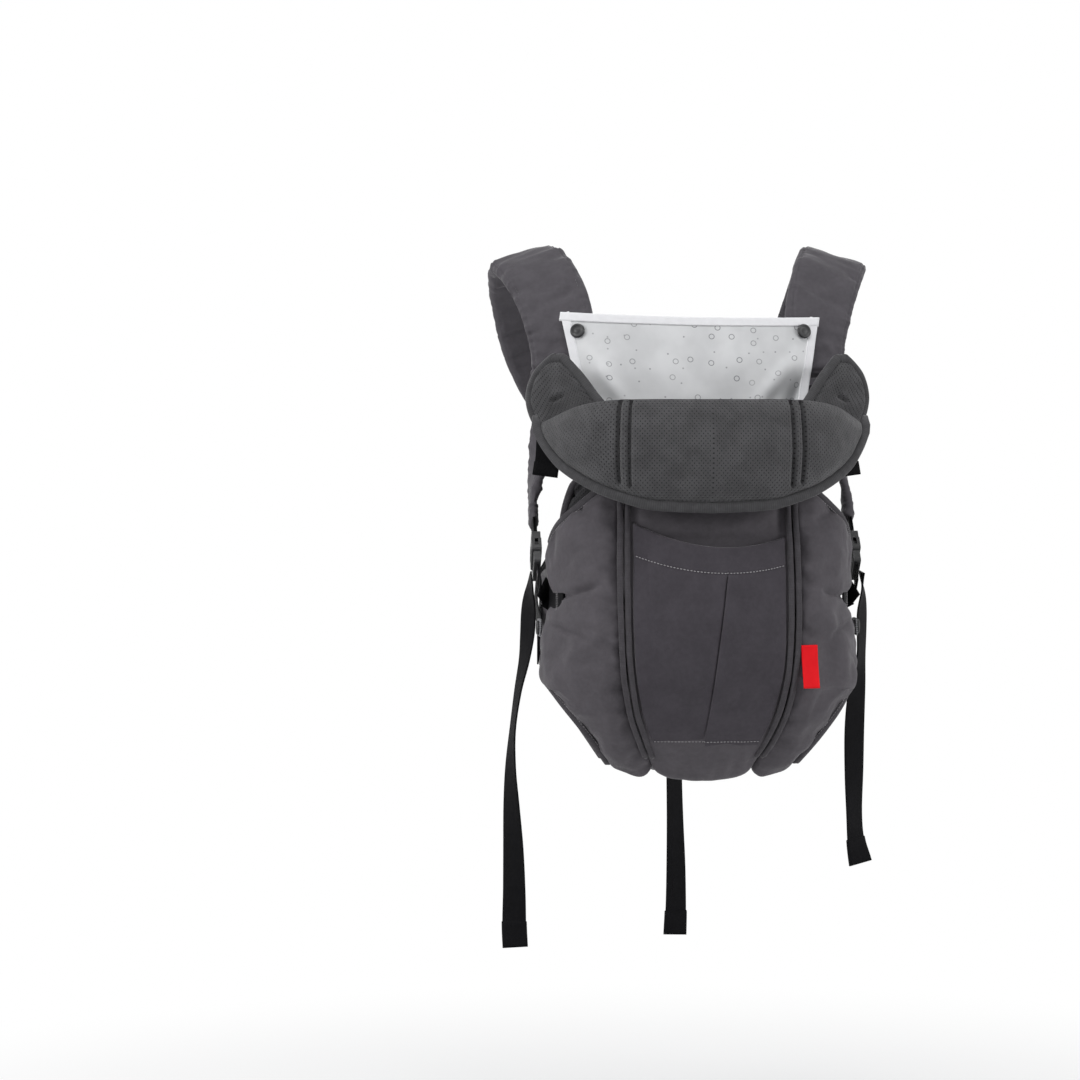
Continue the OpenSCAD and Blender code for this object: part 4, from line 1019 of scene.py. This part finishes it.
u, s = np.meshgrid(2 * eased(96) - 1, eased(110))
middle = np.stack([u * smooth(INNER_HALF, s), lap_y + 14 * u * u * (1 - s),
                   -inner_drop + s * (inner_z + inner_drop)], -1)
quilt_pitch, quilt_deep = 44, 2.4
quilt = quilting(middle, quilt_pitch, quilt_deep) + rumple(middle, 24, 1.2, 61)
leaf = pad("inner_panel_leaf", middle, inner_t, lining, soft=8, least=0.3, face=quilt, rear=quilt * 0.9)
dress(leaf, "carrier", "lining_mesh", "inner_panel", fill=0.5)
edge = np.concatenate([middle[-2:0:-1, 0], middle[0, 1:-1], middle[1:-1, -1]])
edge = edge + [0, 0, 1.5] * (edge[:, 2:] > -inner_drop - 0.5)
dress(tape("inner_panel_binding", edge, np.tile([0, 1.0, 0.05], (len(edge), 1)), 11, 8.5, binding_tape),
      "carrier", "binding_tape")

t, k = np.meshgrid(eased(44), 2 * eased(60) - 1, indexing="ij")
seat_y, seat_z = float(panel_y(np.array(panel_end))) + pad_t / 2 + 9, level(panel_end) - 7.5
seat_run = along([[0, seat_y, seat_z], [0, (seat_y + lap_y) / 2 - 5, seat_z - 3], [0, lap_y - 12, seat_z - 2],
                  [0, lap_y, seat_z + 1]], 88)[::2]
seat_run = read(seat_run, np.linspace(0, 1, 45), eased(44))
middle = seat_run[:, None] + np.stack([panel_w * (0.58 + 0.05 * t) / 2 * k, 10 * k * k * (1 - t) ** 2,
                                       (3.5 * k * k - 1.5) * (1 - t) ** 2], -1)
seat = pad("seat_leaf", middle, 8.5, charcoal, soft=5.5, least=0.2, face=rumple(middle, 20, 1.4, 62))
dress(seat, "carrier", "lining_mesh", "seat_base", fill=0.6)


# The shoulder straps. Wide pads of the cloth over soft foam run from the chest over the
# shoulder to the back, seamed down both edges, with short quilted seams behind. A
# narrower padded strip goes on down to the lower buckle, gathered where it tapers.
strap_w, strap_t, strap_x, side_x = 74, 14, 166, half_w + 8
socket_l, loop_l = 27.1, 22
upper_at = np.array([strap_x - 14, upper_y, fold_z + 22])
lower_at = np.array([side_x - 1, -157, level(0.435)])
lower_dir = np.array([0, math.sqrt(0.5), math.sqrt(0.5)])
pad_end = [-30, -98, fold_z + 24]
PAD_ROUTE = [pad_end, [-33, -93, -92], [-27, -78, -54], [-14, -48, -20], [0, 0, 0], [1, 44, -14],
             [-6, 80, -50], [-20, 102, -96], [-40, 113, -140], [-58, 117, -170]]
PAD_WIDE = [[0.90, 0.43, 0.10], [0.92, 0.40, 0.05], [0.94, 0.30, -0.12], [0.95, 0.14, -0.26],
            [0.957, 0, -0.29], [0.95, -0.15, -0.26], [0.94, -0.26, -0.2], [0.93, -0.22, 0.18],
            [0.88, -0.12, 0.42], [0.85, -0.08, 0.5]]
PAD_W = [0.86, 0.96, 1, 1, 1, 1, 1, 0.97, 0.88, 0.7]
LOWER_ROUTE = [[0, -29, -98], [0.21, -22, -99], [0.45, -12, -100], [0.68, -4, -102]]
LOWER_WIDE = [[0.90, 0.43, 0.1], [0.75, 0.66, 0.05], [0.5, 0.86, 0], [0.2, 0.98, 0],
              [0, 0.9, -0.3], [0, 0.71, -0.71]]
LOWER_W = [0.70, 0.70, 0.64, 0.55, 0.44, 0.37]
strap_cloth = woven("strap_cloth", (0.076, 0.071, 0.079))


def strap_leaf(points, wide, width, rows, cols, seed, seams=(), gather=0.0):
    """A padded strap along a path: its grid, and the heights of its face. It is puckered
    at both edges, seamed where asked, and gathered towards its far end."""
    path, way, width = along(points, rows), along(wide, rows), along(width, rows)[:, None]
    ahead = units(np.gradient(path, axis=0))
    over = units(np.cross(np.cross(ahead, way), ahead))
    across = 0.5 - eased(cols, 0.3)
    middle = path[:, None] + over[:, None] * (width * across)[..., None]
    run = run_of(path)[:, None] + 0 * across
    inside = width * (0.5 - np.abs(across))
    flat = np.stack([run, width * across, 0 * run], -1)
    face = (rumple(flat, 30, 2.6, seed, (1, 0.5, 1)) + rumple(flat, 12, 1.6, seed + 1, (1, 0.4, 1))
            + rumple(flat, 5, 2.4, seed + 2, (1, 0.18, 1)) * np.exp(-(inside / 9) ** 2)
            - 1.5 * np.exp(-((inside - 5.5) / 1.2) ** 2))
    for at in seams:
        face = face - 2.6 * np.exp(-((run - at) / 1.5) ** 2) + 0.9 * np.exp(-((np.abs(run - at) - 6) / 4) ** 2)
    share = run / run[-1:]
    face = face + gather * share ** 2 * np.abs(rumple(flat, 6, 2.0, seed + 3, (1, 0.25, 1)))
    return middle, face


def at_height(path, heights, behind=20):
    """How far along a strap it passes each height behind the wearer."""
    run, back = run_of(path), path[:, 1] > behind
    return [float(run[back][np.argmin(np.abs(path[back][:, 2] - z))]) for z in heights]


lower_end = lower_at + (socket_l + loop_l + 3) * lower_dir
lower_top = pad_end[2] - 5.5
lower_points = [[strap_x + a * a * (side_x - strap_x) + reach, deep, lower_top + a * (lower_end[2] - lower_top)]
                for a, reach, deep in LOWER_ROUTE] + [lower_end + [0, 11.7, 17.2], lower_end]
pad_points = [[strap_x + p[0], p[1], p[2]] for p in PAD_ROUTE]
for side, sign in SIDES:
    seams = at_height(along(pad_points, 200), (-13, -66, -88, -128)) + [7]
    middle, face = strap_leaf(pad_points, PAD_WIDE, np.array(PAD_W) * strap_w, 230, 44, 70 + sign, seams)
    low, low_face = strap_leaf(lower_points, LOWER_WIDE, np.array(LOWER_W) * strap_w, 130, 26, 80 + sign,
                               gather=1.0)
    if sign < 0:
        middle, face = flipped(middle, face)
        low, low_face = flipped(low, low_face)
    by_stud, by_buckle = np.abs(middle[..., 2] + 70) < 22, middle[..., 2] < upper_at[2] + 24
    leaf = pad(f"strap_pad_{side}_leaf", middle, strap_t, strap_cloth, soft=8, least=0.3, face=face,
               rear=face * 0.4, most=3.5, held=(middle[..., 1] < -60) & (by_stud | by_buckle))
    dress(leaf, "carrier", "strap_cloth", f"strap_pad_{side}", fill=0.6)
    leaf = pad(f"strap_lower_{side}_leaf", low, 9.1, strap_cloth, soft=6, least=0.3, face=low_face,
               rear=low_face * 0.5)
    dress(leaf, "carrier", "strap_cloth", f"strap_lower_{side}", fill=0.5)
    for which, grid, lift, skip in (("pad", middle, 5.2, 6), ("lower", low, 3.0, 5)):
        for row, j in (("a", 5), ("b", -6)):
            line, facing = grid[skip:-skip, j], outward(grid)[skip:-skip, j]
            stitches(f"strap_{which}_stitch_{row}_{side}", line + facing * lift, facing, "carrier",
                     thread=thread_dark, pitch=4.0, long=2.8)


# The webbing sewn to the pouch. From each ear a band runs back to the upper buckle and
# its spare end hangs behind; from each wing a band runs to the lower buckle and is
# folded up over its stitches. Bar tacks of grey thread hold the ends.
waist_z, plug_lead, ear_s = level(0.64), 7.5, 0.6
UPPER_HANG = [[2, 3.1, -18], [1, 3.1, -45], [2, 1.1, -78], [5, -0.9, -100]]


def bar_tack(name, at, way, facing):
    """Three rows of close stitches across a band, where it is sewn down."""
    way, facing = units(np.array(way, float)), units(np.array(facing, float))
    across = np.linspace(-10, 10, 12)[:, None]
    for r in range(3):
        line = np.array(at) + way * across + np.cross(way, facing) * (r - 1) * 2.2 + facing * 0.2
        stitches(f"{name}_{r}", line, facing, "carrier", pitch=1.7, long=1.5, thick=0.6)


upper_end = upper_at - [0, base_l, 0]
inner = float(ear_reach * smooth(EAR_IN, np.array(ear_s)))
near = (upper_end[0] - ear_x - inner) / (float(smooth(EAR_OUT, np.array(ear_s))) - inner)
ear_back = ear_point(np.array(ear_s), np.array(min(1, near)), ear_t) + [0, 3.5, 0]
behind = float(ear_point(np.array(ear_s), np.array(1.0), ear_t)[1])
upper_band = np.array([[ear_back[0], ear_back[1], upper_end[2]], upper_end - [0, plug_lead, 0],
                       upper_end - [0, fit + band_t / 2, 0]])
upper_hang = np.array([[upper_end[0] + p[0], behind + p[1], upper_end[2] + p[2]] for p in UPPER_HANG])
wing_band = np.array([wing_point(np.radians(a), np.array(wing_band_v), -band_t / 2 - 1.5 * fit)
                      for a in range(58, 91, 4)])
wing_band[:, 0] -= band_dip
fold_up = np.array([lower_at - (base_l + 2.5 + 7 * k) * lower_dir - [0.8 * k, 0, 0] for k in range(4)])
wing_band = np.concatenate([wing_band, [fold_up[2] + [-2.5, -1, -3]]])
for side, sign in SIDES:
    flip = np.array([sign, 1, 1])
    for name, points, wide, hem in ((f"upper_band_{side}", upper_band, [0, 0, 1], 0),
                                    (f"upper_spare_end_{side}", upper_hang, [1, 0.2, 0], 14),
                                    (f"wing_band_{side}", wing_band, [0, 0, 1], 0),
                                    (f"wing_band_fold_{side}", fold_up, [0, -0.707, 0.707], 0)):
        band, _ = webbing_run(name, points * flip, np.tile(np.array(wide) * flip, (len(points), 1)),
                              "carrier", hem=hem)
        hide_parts("upper_webbing" if name.startswith("upper") else "wing_webbing")
    bar_tack(f"wing_band_tack_{side}", (wing_band[2] + [0.3, -1.1, 0]) * flip, [0, 0, 1],
             np.array([0.75, -0.65, 0]) * flip)
    bar_tack(f"wing_fold_tack_{side}", (fold_up[1] + [1.1, 0, 0]) * flip, [0, -0.707, 0.707], [sign, 0, 0])


# The buckles. Side release buckles of black acetal: a ladder plug, a socket with a grip
# of raised ribs, and two squeeze arms, with a webbing loop behind each socket.
for name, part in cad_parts.items():
    if "plug" in name or "socket" in name or "_arm_" in name:
        for held in part.material_slots:
            held.material = black_acetal
        softened = part.modifiers.new("moulded_edge", "BEVEL")
        softened.width, softened.segments, softened.angle_limit = 0.0005, 2, math.radians(35)


def turned(at, ahead, wide, point):
    """A point of a buckle's own frame, ahead from plug to socket, in the carrier's."""
    a, w = np.array(ahead, float), np.array(wide, float)
    return np.array(at) + point[0] * a + point[1] * w + point[2] * np.cross(a, w)


buckle_t, socket_slide = 9, 19
rear_at = np.array([4, 113, waist_z + 20])
buckles = [(f"{kind}_{side}", at * [sign, 1, 1], ahead, wide)
           for kind, at, ahead, wide in (("upper", upper_at, [0, 1, 0], [0, 0, 1]),
                                         ("lower", lower_at, lower_dir, [0, -lower_dir[1], lower_dir[2]]))
           for side, sign in SIDES[::-1]]
buckles += [("rear", rear_at, [-1, 0, 0], [0, 0, 1])]
for name, at, ahead, wide in buckles:
    kind, _, side = name.partition("_")
    body = f"{kind}_socket_{side}" if side else "rear_socket"
    for face in (-1, 1):
        for n in range(4):
            x, z = 6.2 + 2.6 * n, face * (buckle_t / 2 + 0.75)
            bar = np.array([turned(at, ahead, wide, (x, y, z)) for y in np.linspace(-9 + n, 9 - n, 9)])
            rib = tape(f"{name}_rib_{'a' if face > 0 else 'b'}{n}", bar, ahead, 1.3, 1.0, black_acetal, 8)
            dress(rib, body, "buckle_plastic")
    sewn_in = 8 if kind == "lower" else 0
    long = loop_l - 0.8 + sewn_in
    start, stop = (turned(at, ahead, wide, (x, 0, 0)) for x in (socket_l + 0.4, socket_l + 0.4 + long))
    out_way = units(np.cross(ahead, wide))
    t = np.linspace(0, 1, 14)[:, None]
    for layer in (-1, 1):
        lie = start + (stop - start) * t + out_way * layer * (0.95 + 0.25 * np.sin(np.pi * t))
        rings = ring_round(lie, np.tile(wide, (14, 1)), band_w, 1.7, flat_outline(7))
        loop = dress(sew(f"{name}_loop_{'outer' if layer > 0 else 'inner'}", rings, webbing), "carrier",
                     "webbing", f"{kind}_loop_{side}" if side else "rear_loop")
        tuple(float(a) for a in ahead)
        tuple(float(a) * 0.001 for a in stop)
        1 - (socket_slide - 0.2) / long
        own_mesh(loop)


# The waistband. Two long sleeves of the cloth, gathered along their length over a thin
# pad and bound along both edges, pass round the wearer to the buckle at the back.
band_h, waist_t = 100, 9
WAIST_ROUTE = [[0.705, -129.5, 0], [0.84, -104, 2], [0.88, -60, 4], [0.875, 0, 8],
               [0.79, 58, 14], [0.55, 93, 18]]
plug_end, loop_end = rear_at[0] + base_l + 4, socket_l + loop_l - rear_at[0] + 1
for side, sign, end_x in (("right", 1, plug_end), ("left", -1, loop_end)):
    path = along([[side_x * p[0], p[1], waist_z + p[2]] for p in WAIST_ROUTE]
                 + [[end_x, rear_at[1], rear_at[2]]], 240)
    share = np.linspace(0, 1, 241)
    tall = (band_h * (1 - 0.35 * share ** 3))[:, None]
    up = eased(44, 0.3) - 0.5
    ahead = units(np.gradient(path, axis=0))
    over = units(np.cross(np.cross(ahead, [0, 0, 1]), ahead))
    middle = path[:, None] + over[:, None] * (tall * up)[..., None]
    flat = np.stack([run_of(path)[:, None] + 0 * up, tall * up, 0 * tall * up], -1)
    fold = 1 - np.abs(rumple(flat, 8.5, 1, 90 + sign, (1, 0.09, 1))) * 2.6
    fine = 1 - np.abs(rumple(flat, 4.0, 1, 94 + sign, (1, 0.14, 1))) * 2.6
    gather = 2.6 * fold * np.abs(fold) + 0.9 * fine - 1.6 + rumple(flat, 30, 1.5, 98)
    gather = gather * (0.75 + 0.5 * np.abs(2 * up) ** 2)
    if sign < 0:
        middle, gather = flipped(middle, gather)
    leaf = pad(f"waistband_{side}_leaf", middle, waist_t, charcoal, soft=6, least=0.3, face=gather,
               rear=gather * 0.5)
    dress(leaf, "carrier", "shell_cloth", f"waistband_{side}", fill=0.3)
    facing = outward(middle)
    for row, j, way in (("top", -1 if sign > 0 else 0, 1), ("foot", 0 if sign > 0 else -1, -1)):
        edge, face = middle[2:-2, j] - [0, 0, 1.5 * way], facing[2:-2, j]
        bound = tape(f"waistband_{row}_binding_{side}", edge, face, 8.5, 9, binding_tape, 12, 0.7)
        dress(bound, "carrier", "binding_tape")
        stitches(f"waistband_{row}_stitch_{side}", edge + face * 4.3 - [0, 0, 2.4 * way], face, "carrier",
                 pitch=4.2, long=2.8)


# The webbing round the body. It runs from each wing's lower corner past the wearer's
# side, up across the back and over the other piece to the end of a shoulder pad. A
# cloth patch, box stitched, keeps the crossing in its place.
CROSS_SIDE = [[1, -2, -166, -17], [1, -4, -145, -11], [0.85, 15, -100, 1], [0.88, 10, -40, 18],
              [0.87, 7.6, 25, 42], [0.65, 18, 86, 74]]
CROSS_BACK = [[0.67, 117, -286], [0, 124, -250], [-0.577, 124, -216], [-1, 119.5, -183], [-1.14, 117.5, -171]]
CROSS_WIDE = [[0, -0.1, 1], [0, 0.2, 1], [0, 0.28, 1], [0, 0.25, 1], [-0.15, 0.3, 1],
              [-0.3, 0.2, 1], [0.42, 0, 1], [0.48, 0, 1], [0.5, 0, 1], [0.55, 0, 1], [0.55, 0, 1]]
pad_end_in = 62
for side, sign, lap in (("right", 1, 3), ("left", -1, -1.2)):
    points = along([[side_x * p[0] + p[1], p[2], waist_z + p[3]] for p in CROSS_SIDE]
                   + [[p[0] * (strap_x - pad_end_in), p[1], p[2]] for p in CROSS_BACK], 54)
    points[:, 1] += lap * np.cos(np.radians(np.minimum(90, np.abs(points[:, 0]) * 1.2)))
    flip = np.array([sign, 1, 1])
    band, _ = webbing_run(f"cross_band_{side}", points * flip, along(CROSS_WIDE, 54) * flip, "carrier", n=2)
    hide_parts(f"cross_webbing_{side}")
    bar_tack(f"cross_band_tack_{side}", points[-8] * flip + [0, 1.1, 0], [0.5 * sign, 0, 1], [0, 1, 0])
patch_side = band_w + 21
a, b = np.meshgrid(2 * eased(28) - 1, 1 - 2 * eased(28))
corner = 1 - 0.12 * (a * b) ** 2
cross_y, cross_z = 124, -250
for name, y, facing in (("inner", cross_y - 4.4, -1), ("outer", cross_y + 5.4, 1)):
    middle = np.stack([a * facing * -1 * patch_side / 2 * corner, 0 * a + y,
                       cross_z + b * patch_side / 2 * corner], -1)
    patch = pad(f"cross_patch_{name}", middle, 1.6, charcoal, soft=1.2, least=0.4,
                face=rumple(middle, 12, 0.5, 101))
    dress(patch, "carrier", "binding_tape", "cross_patch")
    square = np.array([[-1, 0, -1], [1, 0, -1], [1, 0, 1], [-1, 0, 1], [-1, 0, -1]]) * (patch_side / 2 - 4)
    for n in range(4):
        line = np.linspace(square[n], square[n + 1], 20) + [0, y + facing * 1.0, cross_z]
        stitches(f"cross_patch_{name}_row_{n}", line, [0, facing, 0], "carrier")


# The leg tabs. A short piece of ribbed grey elastic on each leg opening carries a snap
# and fastens over the webbing at the wearer's side.
rib_pitch, tab_half_l, tab_half_h = 2.2, 15, 9


def ribbed(start):
    place = start.make("TexCoord", out="Object")
    ribs, fuzz = place.axis("Z").wave(rib_pitch * 0.001), start.cloud(place, 300.0, 3.0)
    return start.handle((ribs * 0.5 + fuzz * 0.7).dye((0.13, 0.13, 0.14), (0.24, 0.24, 0.25)), 0.8,
                        ribs * 0.3 + fuzz * 0.2, 0.9, 0.5, 0.2)


elastic = finish("ribbed_elastic", ribbed)
tab_at = np.array([half_w + 5.2, -172, waist_z + 10])
for side, sign in SIDES:
    a, b = np.meshgrid(2 * eased(30) - 1, 1 - 2 * eased(40))
    middle = np.stack([tab_at[0] + 0.5 * np.sin(a * 2) - 0.035 * tab_half_h * b, tab_at[1] + tab_half_l * a,
                       tab_at[2] + tab_half_h * b * (1 - 0.12 * np.clip(a, 0, 1))], -1)
    rib = 0.35 * np.sin(middle[..., 2] * 2 * math.pi / rib_pitch)
    if sign < 0:
        middle, rib = flipped(middle, rib)
    tab = pad(f"leg_tab_{side}", middle, 1.9, elastic, soft=1.0, least=0.4, face=rib, rear=rib)
    dress(tab, "carrier", "ribbed_elastic", "leg_tabs")
    snap_cap(f"tab_cap_{side}", (tab_at + [1.0, -6, 0]) * [sign, 1, 1], [sign, 0, 0], "carrier", 0.98)
